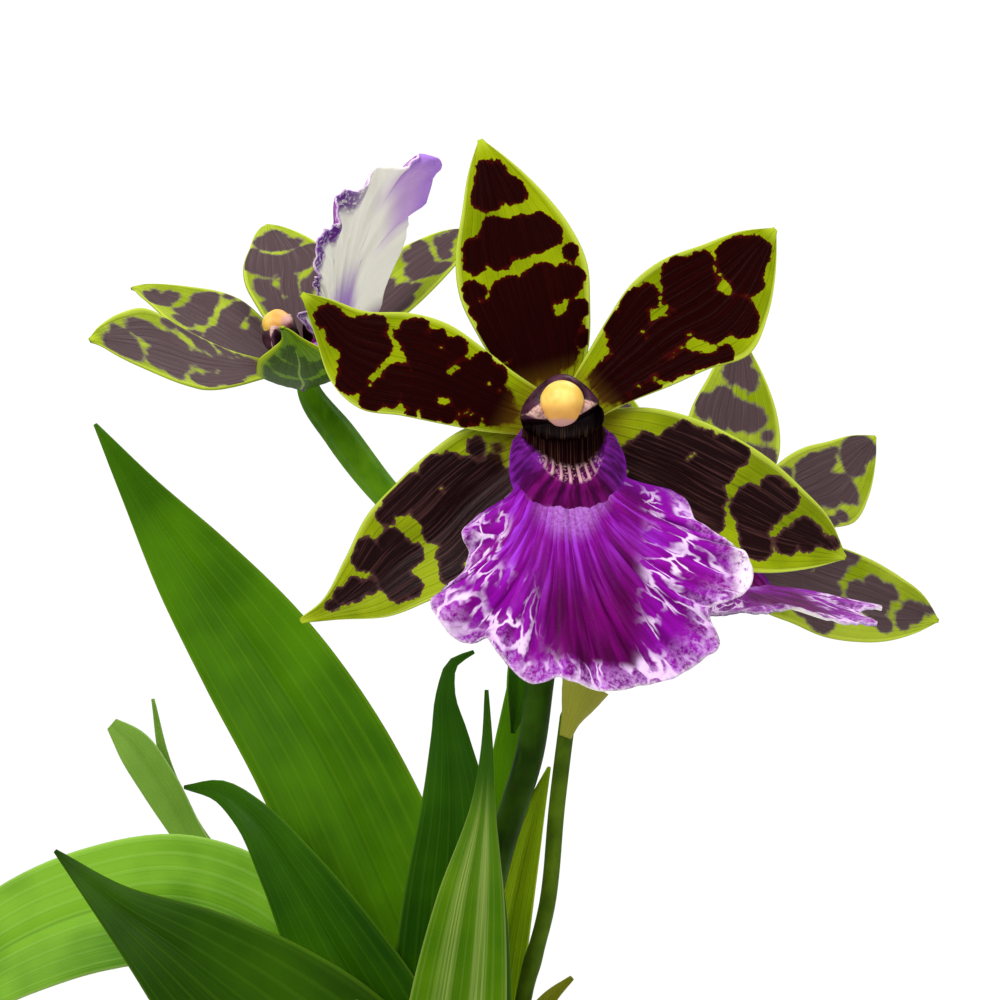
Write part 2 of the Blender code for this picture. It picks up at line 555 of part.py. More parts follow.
def make_roots_and_bulbs():
    """The rhizome lies on the bark and carries three pseudobulbs."""
    rod("rhizome", [
        (-26.0, 36.0, 88.6, 0.7), (-18.0, 30.0, 88.6), (-4.0, 9.0, 88.6), (6.0, -6.0, 88.6),
        (16.0, -4.0, 88.6), (28.0, 14.0, 88.6, 0.7)], 2.3, (0.20, 0.14, 0.05))
    make_bulb("pseudobulb_middle", (-1.0, 7.2), 12.0, 9.0, 45.0)
    make_bulb("pseudobulb_right", (27.0, 14.5), 12.5, 9.0, 38.0)
    make_bulb("pseudobulb_back", (-19.5, 33.5), 12.5, 9.5, 37.0)


clear_scene()
ORCHID = new_collection("zygopetalum_orchid")
CUTTERS = new_collection("cutters", hidden=True)
make_pot()
make_bark()
make_roots_and_bulbs()
make_leaves()
make_stalks()
make_bracts()
make_front_flower()
make_left_flower()
make_right_flower()
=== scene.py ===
"""A zygopetalum orchid in flower in a round nursery pot, with its studio, camera and lights.

Sizes are in millimetres and become metres as each mesh is made. The origin is the centre of the
pot's base, +Z is up, and the front flower faces -Y.
"""

import math

import bmesh
import bpy
import numpy as np
from mathutils import Matrix, Vector, noise


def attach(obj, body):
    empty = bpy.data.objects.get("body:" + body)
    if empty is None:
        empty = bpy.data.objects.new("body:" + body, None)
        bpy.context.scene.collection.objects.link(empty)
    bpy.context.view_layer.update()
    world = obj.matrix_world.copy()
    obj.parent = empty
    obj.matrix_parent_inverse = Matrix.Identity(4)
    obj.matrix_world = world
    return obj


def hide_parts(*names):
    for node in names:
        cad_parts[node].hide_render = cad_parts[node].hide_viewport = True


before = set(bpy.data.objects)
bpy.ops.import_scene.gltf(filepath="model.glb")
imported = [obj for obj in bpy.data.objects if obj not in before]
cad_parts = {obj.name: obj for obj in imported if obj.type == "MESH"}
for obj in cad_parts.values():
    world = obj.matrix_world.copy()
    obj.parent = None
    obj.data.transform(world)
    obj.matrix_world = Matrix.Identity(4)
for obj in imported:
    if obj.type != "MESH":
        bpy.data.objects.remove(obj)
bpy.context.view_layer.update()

MM = 0.001

# The pot is a moulded plastic nursery pot, terracotta in colour, with a thicker rim band and six
# round drain holes. It is turned from one profile, and its satin skin is faintly mottled, with
# fine rings left by the mould and a little dust near the foot.
POT_HEIGHT = 100.0
POT_RIM_RADIUS = 60.0
POT_BASE_RADIUS = 42.0
POT_WALL = 1.8
RIM_BAND = 12.0
RIM_STEP = 3.0
DRAIN_HOLES = 6
DRAIN_RADIUS = 4.0
DRAIN_CIRCLE = 26.0


def pot_wall_radius(z):
    """The outer radius of the pot's wall below its rim."""
    return POT_BASE_RADIUS + (POT_RIM_RADIUS - RIM_STEP - POT_BASE_RADIUS) / POT_HEIGHT * z


def shade(red, green, blue):
    """A colour as seen on a screen, 0 to 255, in the linear values that shaders use."""
    parts = []
    for part in (red, green, blue):
        share = part / 255
        parts.append(share / 12.92 if share <= 0.04045 else ((share + 0.055) / 1.055) ** 2.4)
    return (*parts, 1.0)


def new_finish(name, **sockets):
    """A material with one Principled shader, its fixed values set on the shader's own sockets."""
    material = bpy.data.materials.new(name)
    material.use_nodes = True
    shader = material.node_tree.nodes["Principled BSDF"]
    for socket, value in sockets.items():
        shader.inputs[socket.replace("_", " ")].default_value = value
    return material, material.node_tree, shader


def add_node(tree, kind, inputs=None, **settings):
    """Add a node to a tree. Each input is a plain value or another node's output."""
    made = tree.nodes.new(kind)
    for key, value in settings.items():
        setattr(made, key, value)
    for key, value in (inputs or {}).items():
        if isinstance(value, bpy.types.NodeSocket):
            tree.links.new(value, made.inputs[key])
        else:
            made.inputs[key].default_value = value
    return made


def work_out(tree, operation, first, second=0.0):
    """The result of one sum on two values."""
    return add_node(tree, "ShaderNodeMath", {0: first, 1: second}, operation=operation).outputs[0]


def times(tree, first, second):
    """The product of two values."""
    return work_out(tree, "MULTIPLY", first, second)


def ease(tree, value, low, high, out_low=0.0, out_high=1.0):
    """A value taken smoothly from one range to another and held at its ends."""
    inputs = {"Value": value, "From Min": low, "From Max": high, "To Min": out_low, "To Max": out_high}
    return add_node(tree, "ShaderNodeMapRange", inputs, interpolation_type="SMOOTHSTEP").outputs["Result"]


def blend(tree, share, first, second):
    """Two colours mixed by a share."""
    inputs = {0: share, 6: first, 7: second}
    mixed = add_node(tree, "ShaderNodeMix", data_type="RGBA", clamp_factor=True)
    for key, value in inputs.items():
        if isinstance(value, bpy.types.NodeSocket):
            tree.links.new(value, mixed.inputs[key])
        else:
            mixed.inputs[key].default_value = value
    return mixed.outputs[2]


def object_spots(tree, scale, detail=3.0, roughness=0.55, stretch=(1.0, 1.0, 1.0)):
    """Soft random spots from 0 to 1, fixed to the piece; scale is spots to the metre."""
    where = add_node(tree, "ShaderNodeTexCoord").outputs["Object"]
    spread = add_node(tree, "ShaderNodeMapping", {"Vector": where, "Scale": stretch}).outputs["Vector"]
    inputs = {"Vector": spread, "Scale": scale, "Detail": detail, "Roughness": roughness}
    return add_node(tree, "ShaderNodeTexNoise", inputs).outputs["Fac"]


def raise_skin(tree, shader, height, depth):
    """Turn a height over the surface into the shader's normal; depth is in millimetres."""
    inputs = {"Height": height, "Distance": depth * MM, "Strength": 1.0}
    bump = add_node(tree, "ShaderNodeBump", inputs)
    tree.links.new(bump.outputs["Normal"], shader.inputs["Normal"])


def turned_mesh(name, profile, steps):
    """A profile of radius and height spun round the Z axis into a mesh."""
    shape = bmesh.new()
    corners = [shape.verts.new((radius * MM, 0.0, z * MM)) for radius, z in profile]
    edges = [shape.edges.new(pair) for pair in zip(corners, corners[1:])]
    bmesh.ops.spin(
        shape, geom=corners + edges, cent=(0, 0, 0), axis=(0, 0, 1), angle=2 * math.pi,
        steps=steps, use_merge=True
    )
    bmesh.ops.remove_doubles(shape, verts=shape.verts, dist=0.00001)
    bmesh.ops.recalc_face_normals(shape, faces=shape.faces)
    mesh = bpy.data.meshes.new(name)
    shape.to_mesh(mesh)
    shape.free()
    mesh.shade_smooth()
    return mesh


def new_piece(name, mesh, material):
    """An object for a mesh, in the scene, with its material."""
    piece = bpy.data.objects.new(name, mesh)
    bpy.context.scene.collection.objects.link(piece)
    mesh.materials.append(material)
    return piece


def pot_profile():
    """The pot's section from the middle of its floor over the rim and back to the middle."""
    band = POT_HEIGHT - RIM_BAND
    lip = POT_RIM_RADIUS - POT_WALL
    inside = [(0.0, POT_WALL), (30.0, POT_WALL), (pot_wall_radius(POT_WALL) - POT_WALL - 1.5, POT_WALL)]
    inside += [(pot_wall_radius(z) - POT_WALL, z) for z in np.linspace(POT_WALL + 1.5, band + 1.0, 14)]
    rim = [
        (lip - 0.8, band + 3.0), (lip - 0.5, POT_HEIGHT - 1.2), (lip - 0.3, POT_HEIGHT - 0.5),
        (lip + 0.2, POT_HEIGHT), (POT_RIM_RADIUS - 0.7, POT_HEIGHT), (POT_RIM_RADIUS - 0.2, POT_HEIGHT - 0.3),
        (POT_RIM_RADIUS, POT_HEIGHT - 0.9), (POT_RIM_RADIUS - 0.15, POT_HEIGHT - 5.0),
        (POT_RIM_RADIUS - 0.3, band + 1.5), (POT_RIM_RADIUS - 0.5, band + 0.5), (POT_RIM_RADIUS - 1.0, band),
        (pot_wall_radius(band) + 0.3, band - 0.2), (pot_wall_radius(band), band - 0.8),
    ]
    outside = [(pot_wall_radius(z), z) for z in np.linspace(band - 2.0, 2.2, 24)]
    foot = [(POT_BASE_RADIUS - 0.1, 0.9), (POT_BASE_RADIUS - 0.5, 0.3), (POT_BASE_RADIUS - 1.2, 0.0)]
    return inside + rim + outside + foot + [(36.0, 0.0), (35.0, 0.5), (0.0, 0.5)]


def cut_drain_holes(pot):
    """Six round holes through the pot's floor, cut and applied."""
    cutters = []
    for i in range(DRAIN_HOLES):
        turn = 2 * math.pi * (i + 0.5) / DRAIN_HOLES
        shape = bmesh.new()
        place = Matrix.Translation(Vector((math.cos(turn), math.sin(turn), 0.0)) * DRAIN_CIRCLE * MM)
        bmesh.ops.create_cone(
            shape, cap_ends=True, segments=28, radius1=DRAIN_RADIUS * MM, radius2=DRAIN_RADIUS * MM,
            depth=12 * MM, matrix=place
        )
        mesh = bpy.data.meshes.new("drain_cutter")
        shape.to_mesh(mesh)
        shape.free()
        cutter = bpy.data.objects.new("drain_cutter", mesh)
        bpy.context.scene.collection.objects.link(cutter)
        hole = pot.modifiers.new("hole", "BOOLEAN")
        hole.object = cutter
        cutters.append(cutter)
    bpy.context.view_layer.update()
    finished = bpy.data.meshes.new_from_object(pot.evaluated_get(bpy.context.evaluated_depsgraph_get()))
    pot.modifiers.clear()
    pot.data = finished
    for cutter in cutters:
        bpy.data.objects.remove(cutter, do_unlink=True)


pot_finish, tree, shader = new_finish("pot_plastic", Roughness=0.42, Specular_IOR_Level=0.45)
clouds = object_spots(tree, 35.0, 4.0)
grit = object_spots(tree, 900.0, 2.0)
height_up = add_node(
    tree, "ShaderNodeSeparateXYZ", {"Vector": add_node(tree, "ShaderNodeTexCoord").outputs["Object"]}
).outputs["Z"]
clay = blend(tree, clouds, shade(176, 92, 56), shade(196, 112, 72))
dust = times(tree, ease(tree, height_up, 0.03, 0.0), ease(tree, clouds, 0.35, 0.7))
clay = blend(tree, times(tree, dust, 0.5), clay, shade(196, 170, 148))
tree.links.new(clay, shader.inputs["Base Color"])
rings = work_out(tree, "SINE", times(tree, height_up, 5200.0))
tree.links.new(ease(tree, grit, 0.2, 0.8, 0.36, 0.5), shader.inputs["Roughness"])
raise_skin(tree, shader, work_out(tree, "ADD", times(tree, rings, 0.25), grit), 0.05)
pot = new_piece("pot_shell", turned_mesh("pot_shell", pot_profile(), 128), pot_finish)
cut_drain_holes(pot)
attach(pot, "root")
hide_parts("pot")

# The potting mix is chopped conifer bark: a packed bed that fills the pot, with loose angular
# chips lying on it at all angles. The chips are dark brown, greyer and paler on worn faces.
BARK_TOP = 84.0
BARK_LUMP = 3.2
BARK_GAP = 0.8
CHIPS = 300
CHIP_REACH = 46.5
CHIP_BED = 84.2
GOLDEN_TURN = 2.39996

dice = np.random.default_rng(7)
noise.seed_set(7)


def bark_bed(shape):
    """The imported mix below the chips, its top rough."""
    inset = POT_WALL + BARK_GAP
    edge = pot_wall_radius(BARK_TOP) - inset - 0.3
    sides = 96
    levels = [(BARK_TOP, edge * part) for part in np.linspace(0.02, 1.0, 26)]
    levels += [(z, pot_wall_radius(z) - inset) for z in (78.0, 60.0, 40.0, 20.0, inset + 2.0)]
    levels.append((inset, pot_wall_radius(inset) - inset - 1.5))
    hoops = []
    for z, radius in levels:
        hoop = []
        for i in range(sides):
            turn = 2 * math.pi * i / sides
            x, y = radius * math.cos(turn), radius * math.sin(turn)
            lump = 0.0
            if z == BARK_TOP:
                coarse = noise.noise(Vector((x, y, 0)) * 0.22)
                fine = noise.noise(Vector((x, y, 9)) * 0.6)
                lump = BARK_LUMP * (0.5 * coarse + 0.3 * fine - 0.25)
            hoop.append(shape.verts.new(Vector((x, y, z + lump)) * MM))
        hoops.append(hoop)
    for low, high in zip(hoops, hoops[1:]):
        for i in range(sides):
            j = (i + 1) % sides
            shape.faces.new((low[i], low[j], high[j], high[i]))
    shape.faces.new(hoops[0])
    shape.faces.new(hoops[-1])


def bark_chip(shape, spot, length, width, thick, turn):
    """One chip: a block with its corners knocked about and its edges broken."""
    before = len(shape.verts)
    made = bmesh.ops.create_cube(shape, size=1.0)["verts"]
    edges = {edge for corner in made for edge in corner.link_edges}
    bmesh.ops.subdivide_edges(shape, edges=list(edges), cuts=2, use_grid_fill=True)
    shape.verts.ensure_lookup_table()
    seed = Vector((dice.random() * 50, dice.random() * 50, dice.random() * 50))
    for corner in shape.verts[before:]:
        shove = noise.noise_vector(corner.co * 1.6 + seed) * 0.22
        at = corner.co + shove
        at = Vector((at.x * length, at.y * width * (1 - 0.35 * abs(at.x)), at.z * thick))
        corner.co = (turn @ at + spot) * MM


bark_shape = bmesh.new()
bark_bed(bark_shape)
for i in range(CHIPS):
    reach = CHIP_REACH * math.sqrt((i + 0.5) / CHIPS)
    around = i * GOLDEN_TURN
    thick = 1.4 + 1.6 * dice.random()
    spot = Vector((reach * math.cos(around), reach * math.sin(around), CHIP_BED + 1.4 * dice.random()))
    tip_ahead = Matrix.Rotation(0.5 * (dice.random() - 0.5), 3, "X")
    tip_aside = Matrix.Rotation(0.5 * (dice.random() - 0.5), 3, "Y")
    lean = tip_ahead @ tip_aside
    spin = Matrix.Rotation(2 * math.pi * dice.random(), 3, "Z")
    bark_chip(bark_shape, spot, 5.0 + 5.0 * dice.random(), 3.2 + 3.0 * dice.random(), thick, spin @ lean)
bmesh.ops.recalc_face_normals(bark_shape, faces=bark_shape.faces)
bark_mesh = bpy.data.meshes.new("bark_mix")
bark_shape.to_mesh(bark_mesh)
bark_shape.free()
bark_mesh.shade_smooth()
bark_mesh.set_sharp_from_angle(angle=math.radians(38))
bark_finish, tree, shader = new_finish("bark", Roughness=0.9, Specular_IOR_Level=0.25)
layers = object_spots(tree, 260.0, 5.0, 0.65, (1.0, 1.0, 3.0))
chip_tone = object_spots(tree, 130.0, 1.0)
tones = blend(tree, ease(tree, chip_tone, 0.38, 0.62), shade(70, 42, 26), shade(126, 84, 54))
tones = blend(tree, ease(tree, layers, 0.52, 0.72), tones, shade(150, 118, 88))
tones = blend(tree, ease(tree, layers, 0.42, 0.3), tones, shade(34, 20, 13))
tree.links.new(tones, shader.inputs["Base Color"])
tree.links.new(ease(tree, layers, 0.3, 0.7, 0.78, 0.95), shader.inputs["Roughness"])
raise_skin(tree, shader, layers, 0.5)
bark = new_piece("bark_mix", bark_mesh, bark_finish)
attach(bark, "root")
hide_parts("potting_bark")

# The rhizome is the creeping stem that lies on the bark. It is ringed and woody, and a few pale
# fleshy roots leave it and dive into the bark.
RHIZOME_RADIUS = 2.3


def smooth_path(stations, count):
    """Evenly spaced points on a smooth curve through the stations. Extra columns are blended too."""
    stations = np.array(stations, float)
    steps = np.linalg.norm(np.diff(stations[:, :3], axis=0), axis=1)
    reach = np.concatenate([[0.0], np.cumsum(steps)])
    slopes = np.gradient(stations, reach, axis=0)
    path = []
    for at in np.linspace(0.0, reach[-1], count):
        i = min(int(np.searchsorted(reach, at, "right")) - 1, len(reach) - 2)
        span = reach[i + 1] - reach[i]
        t = (at - reach[i]) / span
        path.append(
            (2 * t**3 - 3 * t**2 + 1) * stations[i]
            + (t**3 - 2 * t**2 + t) * span * slopes[i]
            + (3 * t**2 - 2 * t**3) * stations[i + 1]
            + (t**3 - t**2) * span * slopes[i + 1]
        )
    return np.array(path)


def add_rod(shape, stations, radius, section, count=90, sides=24):
    """A closed round rod in a bmesh. section(along, turn) gives the share of the radius there."""
    layer = shape.verts.layers.float_vector.get("place") or shape.verts.layers.float_vector.new("place")
    path = smooth_path([(*s, 1.0) if len(s) == 3 else s for s in stations], count)
    ways = np.gradient(path[:, :3], axis=0)
    runs_across = abs(ways[0][0]) >= 0.7 * np.linalg.norm(ways[0])
    side = Vector((0.0, 1.0, 0.0)) if runs_across else Vector((1.0, 0.0, 0.0))
    hoops = []
    for i, (station, way) in enumerate(zip(path, ways)):
        way = Vector(way).normalized()
        side = (side - way * side.dot(way)).normalized()
        other = way.cross(side)
        along = i / (count - 1)
        cap = math.sqrt(max(0.04, 1 - max(0.0, 1 - min(i, count - 1 - i) / 2.0) ** 2))
        hoop = []
        for k in range(sides):
            turn = 2 * math.pi * k / sides
            reach = radius * station[3] * cap * section(along, turn)
            corner = shape.verts.new(
                (Vector(station[:3]) + (side * math.cos(turn) + other * math.sin(turn)) * reach) * MM
            )
            corner[layer] = (k / sides, along, reach)
            hoop.append(corner)
        hoops.append(hoop)
    for low, high in zip(hoops, hoops[1:]):
        for k in range(sides):
            j = (k + 1) % sides
            shape.faces.new((low[k], low[j], high[j], high[k]))
    shape.faces.new(hoops[0])
    shape.faces.new(hoops[-1])


def mesh_from(shape, name):
    """A smooth mesh from a finished bmesh, its faces turned outward."""
    bmesh.ops.recalc_face_normals(shape, faces=shape.faces)
    mesh = bpy.data.meshes.new(name)
    shape.to_mesh(mesh)
    shape.free()
    mesh.shade_smooth()
    return mesh


def ringed(along, turn):
    """The rhizome's close rings, with a knobbly side."""
    knobs = noise.noise(Vector((along * 14, math.cos(turn), math.sin(turn))))
    return 1.0 + 0.07 * math.sin(along * 95) + 0.08 * knobs


def rooty(along, turn):
    """A root's slow swellings."""
    return 1.0 + 0.12 * noise.noise(Vector((along * 9, math.cos(turn) * 0.6, math.sin(turn) * 0.6)))


rhizome_shape = bmesh.new()
add_rod(rhizome_shape, [
    (-26.0, 36.0, 88.6, 0.7), (-18.0, 30.0, 88.6), (-4.0, 9.0, 88.6), (6.0, -6.0, 88.6),
    (16.0, -4.0, 88.6), (28.0, 14.0, 88.6, 0.7)], RHIZOME_RADIUS, ringed, 160)
for start, middle, end in (
    ((-8, 14, 88.0), (-20, 8, 88.4), (-33, 3, 84.5)),
    ((2, 0, 88.0), (-8, -12, 88.6), (-14, -27, 84.0)),
    ((12, -6, 88.0), (20, -17, 88.6), (27, -31, 84.0)),
    ((20, 0, 88.0), (33, -6, 88.2), (43, -7, 84.5)),
    ((-14, 24, 88.0), (-10, 38, 88.2), (-2, 46, 84.5)),
):
    add_rod(rhizome_shape, [(*start, 0.8), (*middle, 1.0), (*end, 0.7)], 1.3, rooty, 40, 14)
rhizome_finish, tree, shader = new_finish("rhizome", Roughness=0.7, Specular_IOR_Level=0.3)
fibre = object_spots(tree, 420.0, 4.0)
skin = blend(tree, ease(tree, fibre, 0.35, 0.65), shade(112, 96, 62), shade(178, 168, 128))
tree.links.new(skin, shader.inputs["Base Color"])
tree.links.new(ease(tree, fibre, 0.3, 0.7, 0.6, 0.8), shader.inputs["Roughness"])
raise_skin(tree, shader, fibre, 0.25)
rhizome = new_piece("rhizome_and_roots", mesh_from(rhizome_shape, "rhizome_and_roots"), rhizome_finish)
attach(rhizome, "root")
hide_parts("rhizome")

# The pseudobulbs are fleshy swollen stems, egg-shaped and a little flattened, that stand on the
# rhizome. They are waxy green with shallow ribs, and torn papery sheaths cling to their feet.
BULB_FOOT = 91.5
BULBS = {
    "pseudobulb_middle": ((-1.0, 7.2), 12.0, 9.0, 45.0),
    "pseudobulb_right": ((27.0, 14.5), 12.5, 9.0, 38.0),
    "pseudobulb_back": ((-19.5, 33.5), 12.5, 9.5, 37.0),
}
BULB_PARTS = (0.0, 0.06, 0.18, 0.34, 0.52, 0.70, 0.84, 0.95, 1.0)
BULB_WIDTHS = (0.55, 0.72, 0.94, 1.0, 0.92, 0.70, 0.46, 0.27, 0.16)


def smooth_between(at, places, values):
    """A smooth curve through the values at the given places, read at one or many places."""
    places, values = np.array(places, float), np.array(values, float)
    at = np.clip(np.array(at, float), places[0], places[-1])
    slopes = np.gradient(values, places)
    i = np.clip(np.searchsorted(places, at, "right") - 1, 0, len(places) - 2)
    span = places[i + 1] - places[i]
    t = (at - places[i]) / span
    return (
        (2 * t**3 - 3 * t**2 + 1) * values[i]
        + (t**3 - 2 * t**2 + t) * span * slopes[i]
        + (3 * t**2 - 2 * t**3) * values[i + 1]
        + (t**3 - t**2) * span * slopes[i + 1]
    )


def bulb_mesh(name, centre, across, deep, height, stand_off=0.0, top=1.0):
    """A ribbed bulb, or with a stand-off the ragged sheath round its lower part."""
    shape = bmesh.new()
    layer = shape.verts.layers.float_vector.new("place")
    sides, rows = 72, 40
    hoops = []
    for r in range(rows + 1):
        hoop = []
        for k in range(sides):
            turn = 2 * math.pi * k / sides
            rag = 1.0
            if stand_off:
                rag -= 0.3 * abs(noise.noise(Vector((math.cos(turn) * 2.2, math.sin(turn) * 2.2, across))))
            part = r / rows * top * rag
            width = float(smooth_between(part, BULB_PARTS, BULB_WIDTHS))
            ribs = math.cos(9 * turn) * math.sin(math.pi * min(1.0, part * 1.1))
            lump = noise.noise(Vector((math.cos(turn) * 3, math.sin(turn) * 3, part * 5 + across)))
            out = width * (1.0 + 0.025 * ribs + 0.012 * lump) + stand_off / across
            corner = shape.verts.new(Vector((
                centre[0] + across * out * math.cos(turn),
                centre[1] + deep * out * math.sin(turn),
                BULB_FOOT + height * part,
            )) * MM)
            corner[layer] = (k / sides, part, out)
            hoop.append(corner)
        hoops.append(hoop)
    for low, high in zip(hoops, hoops[1:]):
        for k in range(sides):
            j = (k + 1) % sides
            shape.faces.new((low[k], low[j], high[j], high[k]))
    if not stand_off:
        shape.faces.new(hoops[0])
        shape.faces.new(hoops[-1])
    return mesh_from(shape, name)


def place_of(tree):
    """The place that each corner of a mesh carries, as three values."""
    place = add_node(tree, "ShaderNodeAttribute", attribute_name="place").outputs["Vector"]
    return add_node(tree, "ShaderNodeSeparateXYZ", {"Vector": place}).outputs


bulb_finish, tree, shader = new_finish("pseudobulb", Roughness=0.4, Specular_IOR_Level=0.4)
_, up, _ = place_of(tree)
clouds = object_spots(tree, 120.0, 4.0)
fibre = object_spots(tree, 900.0, 3.0, 0.5, (1.0, 1.0, 0.12))
skin = blend(tree, ease(tree, clouds, 0.3, 0.7), shade(92, 128, 34), shade(128, 158, 58))
skin = blend(tree, ease(tree, up, 0.25, 0.0), skin, shade(150, 160, 92))
skin = blend(tree, times(tree, ease(tree, fibre, 0.5, 0.75), 0.35), skin, shade(66, 98, 24))
tree.links.new(skin, shader.inputs["Base Color"])
tree.links.new(ease(tree, clouds, 0.3, 0.7, 0.36, 0.5), shader.inputs["Roughness"])
raise_skin(tree, shader, fibre, 0.12)
sheath_finish, tree, shader = new_finish("bulb_sheath", Roughness=0.75, Specular_IOR_Level=0.3)
_, up, _ = place_of(tree)
fibre = object_spots(tree, 800.0, 4.0, 0.6, (1.0, 1.0, 0.08))
paper = blend(tree, ease(tree, fibre, 0.35, 0.65), shade(146, 122, 82), shade(198, 180, 138))
paper = blend(tree, ease(tree, up, 0.3, 0.5), paper, shade(112, 84, 52))
tree.links.new(paper, shader.inputs["Base Color"])
tree.links.new(ease(tree, fibre, 0.3, 0.7, 0.68, 0.85), shader.inputs["Roughness"])
raise_skin(tree, shader, fibre, 0.2)
for name, (centre, across, deep, height) in BULBS.items():
    bulb = new_piece(f"{name}_flesh", bulb_mesh(f"{name}_flesh", centre, across, deep, height), bulb_finish)
    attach(bulb, "root")
    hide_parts(name)
    sheath = new_piece(
        f"{name}_sheath", bulb_mesh(f"{name}_sheath", centre, across, deep, height, 0.35, 0.5), sheath_finish
    )
    paper_shell = sheath.modifiers.new("paper", "SOLIDIFY")
    paper_shell.thickness = 0.25 * MM
    paper_shell.offset = 1.0
    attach(sheath, "root")

# The leaves are thin straps that sheathe each other at the foot, fan out and fold along the
# midrib. They are satin green with fine parallel veins, paler below, and each has its own tone,
# which also holds painted light and shade: darker for leaves in shade, brighter for lit ones.
LEAF_THICK = 1.0
NEAR, UPWARD = (0.0, -1.0, 0.1), (-0.1, -0.8, 0.6)
TIP_AHEAD = (-0.1, -1.0, 0.5)


def closed_sheet(name, points, thickness, front, place):
    """A thin closed sheet on both sides of a grid of points.

    Every corner carries its place and whether it is on the front. The front side is the one that
    looks along the given vector.
    """
    rows, columns = points.shape[:2]
    normals = np.cross(np.gradient(points, axis=1), np.gradient(points, axis=0))
    normals /= np.maximum(np.linalg.norm(normals, axis=2, keepdims=True), 1e-9)
    if (normals * np.array(front)).sum(axis=2).mean() < 0:
        normals = -normals
    half = normals * thickness[..., None] / 2
    corners = np.concatenate([(points + half).reshape(-1, 3), (points - half).reshape(-1, 3)]) * MM
    back = rows * columns
    faces = []
    for r in range(rows - 1):
        for c in range(columns - 1):
            a = r * columns + c
            quad = (a, a + 1, a + columns + 1, a + columns)
            faces.append(quad)
            faces.append(tuple(back + i for i in reversed(quad)))
    ring = list(range(columns)) + [r * columns + columns - 1 for r in range(1, rows)]
    ring += [(rows - 1) * columns + c for c in range(columns - 2, -1, -1)]
    ring += [r * columns for r in range(rows - 2, 0, -1)]
    for a, b in zip(ring, ring[1:] + ring[:1]):
        faces.append((b, a, back + a, back + b))
    mesh = bpy.data.meshes.new(name)
    mesh.from_pydata(corners.tolist(), [], faces)
    places = np.concatenate([place.reshape(-1, 3)] * 2).astype(np.float32)
    mesh.attributes.new("place", "FLOAT_VECTOR", "POINT").data.foreach_set("vector", places.ravel())
    sides = np.repeat((1.0, 0.0), back).astype(np.float32)
    mesh.attributes.new("front", "FLOAT", "POINT").data.foreach_set("value", sides)
    shape = bmesh.new()
    shape.from_mesh(mesh)
    bmesh.ops.recalc_face_normals(shape, faces=shape.faces)
    shape.to_mesh(mesh)
    shape.free()
    mesh.shade_smooth()
    return mesh


def leaf_mesh(name, stations, facing_foot, facing_tip, channel=(-0.35, 0.1), rows=104, columns=25,
              crease=0.45, waver=0.5, thick=LEAF_THICK):
    """A strap leaf along its midrib. Each station is a point and the half-width there.

    The facing vectors say where the upper side looks at the foot and at the tip. Channel is how
    far the margins stand forward of the midrib there, as a share of the half-width, crease is the
    depth of the midrib's groove, and waver how far the margins wave.
    """
    path = smooth_path(stations, rows)
    ways = np.gradient(path[:, :3], axis=0)
    across = np.linspace(-1, 1, columns)
    seed = 0.37 * sum(ord(letter) for letter in name)
    points = np.zeros((rows, columns, 3))
    thickness = np.zeros((rows, columns))
    place = np.zeros((rows, columns, 3))
    for i, (station, way) in enumerate(zip(path, ways)):
        way = way / np.linalg.norm(way)
        t = i / (rows - 1)
        look = (1 - t) * np.array(facing_foot, float) + t * np.array(facing_tip, float)
        side = np.cross(look, way)
        side /= np.linalg.norm(side)
        up = np.cross(way, side)
        half = max(station[3], 0.25)
        deep = channel[1] + (channel[0] - channel[1]) * max(0.0, 1 - t / 0.45) ** 2
        for k, v in enumerate(across):
            flutter = noise.noise(Vector((t * 7 + 3 * np.sign(v), seed, 0.0)))
            wave = waver * min(1.0, half / 6) * abs(v) ** 3 * flutter
            groove = -crease * min(1.0, half / 4) * math.exp(-((v * half / 0.9) ** 2))
            pleat = 0.03 * min(1.0, half / 5) * math.cos(v * math.pi * 7)
            lift = deep * half * abs(v) ** 1.5 + wave + groove + pleat
            points[i, k] = station[:3] + side * half * v + up * lift
            thickness[i, k] = thick * (1 - 0.62 * abs(v) ** 2.5) * min(1.0, 0.35 + half / 2.5)
            place[i, k] = (v, t, half)
    return closed_sheet(name, points, thickness, look, place)


def new_group(name, inputs, outputs):
    """An empty node group with the named sockets."""
    group = bpy.data.node_groups.new(name, "ShaderNodeTree")
    for socket, kind in inputs.items():
        group.interface.new_socket(socket, in_out="INPUT", socket_type=kind)
    for socket, kind in outputs.items():
        group.interface.new_socket(socket, in_out="OUTPUT", socket_type=kind)
    return group, group.nodes.new("NodeGroupInput").outputs, group.nodes.new("NodeGroupOutput").inputs


VALUE = "NodeSocketFloat"

# Plant fibres run the length of a leaf, petal or stalk: long fine streaks, and evenly spaced veins.
fibres, given, out = new_group(
    "plant_fibres", {"Across": VALUE, "Along": VALUE, "Veins": VALUE}, {"Streak": VALUE, "Vein": VALUE}
)
wander = add_node(fibres, "ShaderNodeCombineXYZ", {
    0: times(fibres, given["Across"], 16.0),
    1: times(fibres, given["Along"], 2.2),
})
streak = add_node(fibres, "ShaderNodeTexNoise", {"Vector": wander.outputs[0], "Scale": 1.6, "Detail": 5.0})
turns = times(fibres, given["Across"], given["Veins"])
shift = times(fibres, streak.outputs["Fac"], 0.5)
swing = work_out(fibres, "COSINE", times(fibres, work_out(fibres, "ADD", turns, shift), math.pi))
fibres.links.new(streak.outputs["Fac"], out["Streak"])
fibres.links.new(ease(fibres, swing, 0.55, 1.0), out["Vein"])


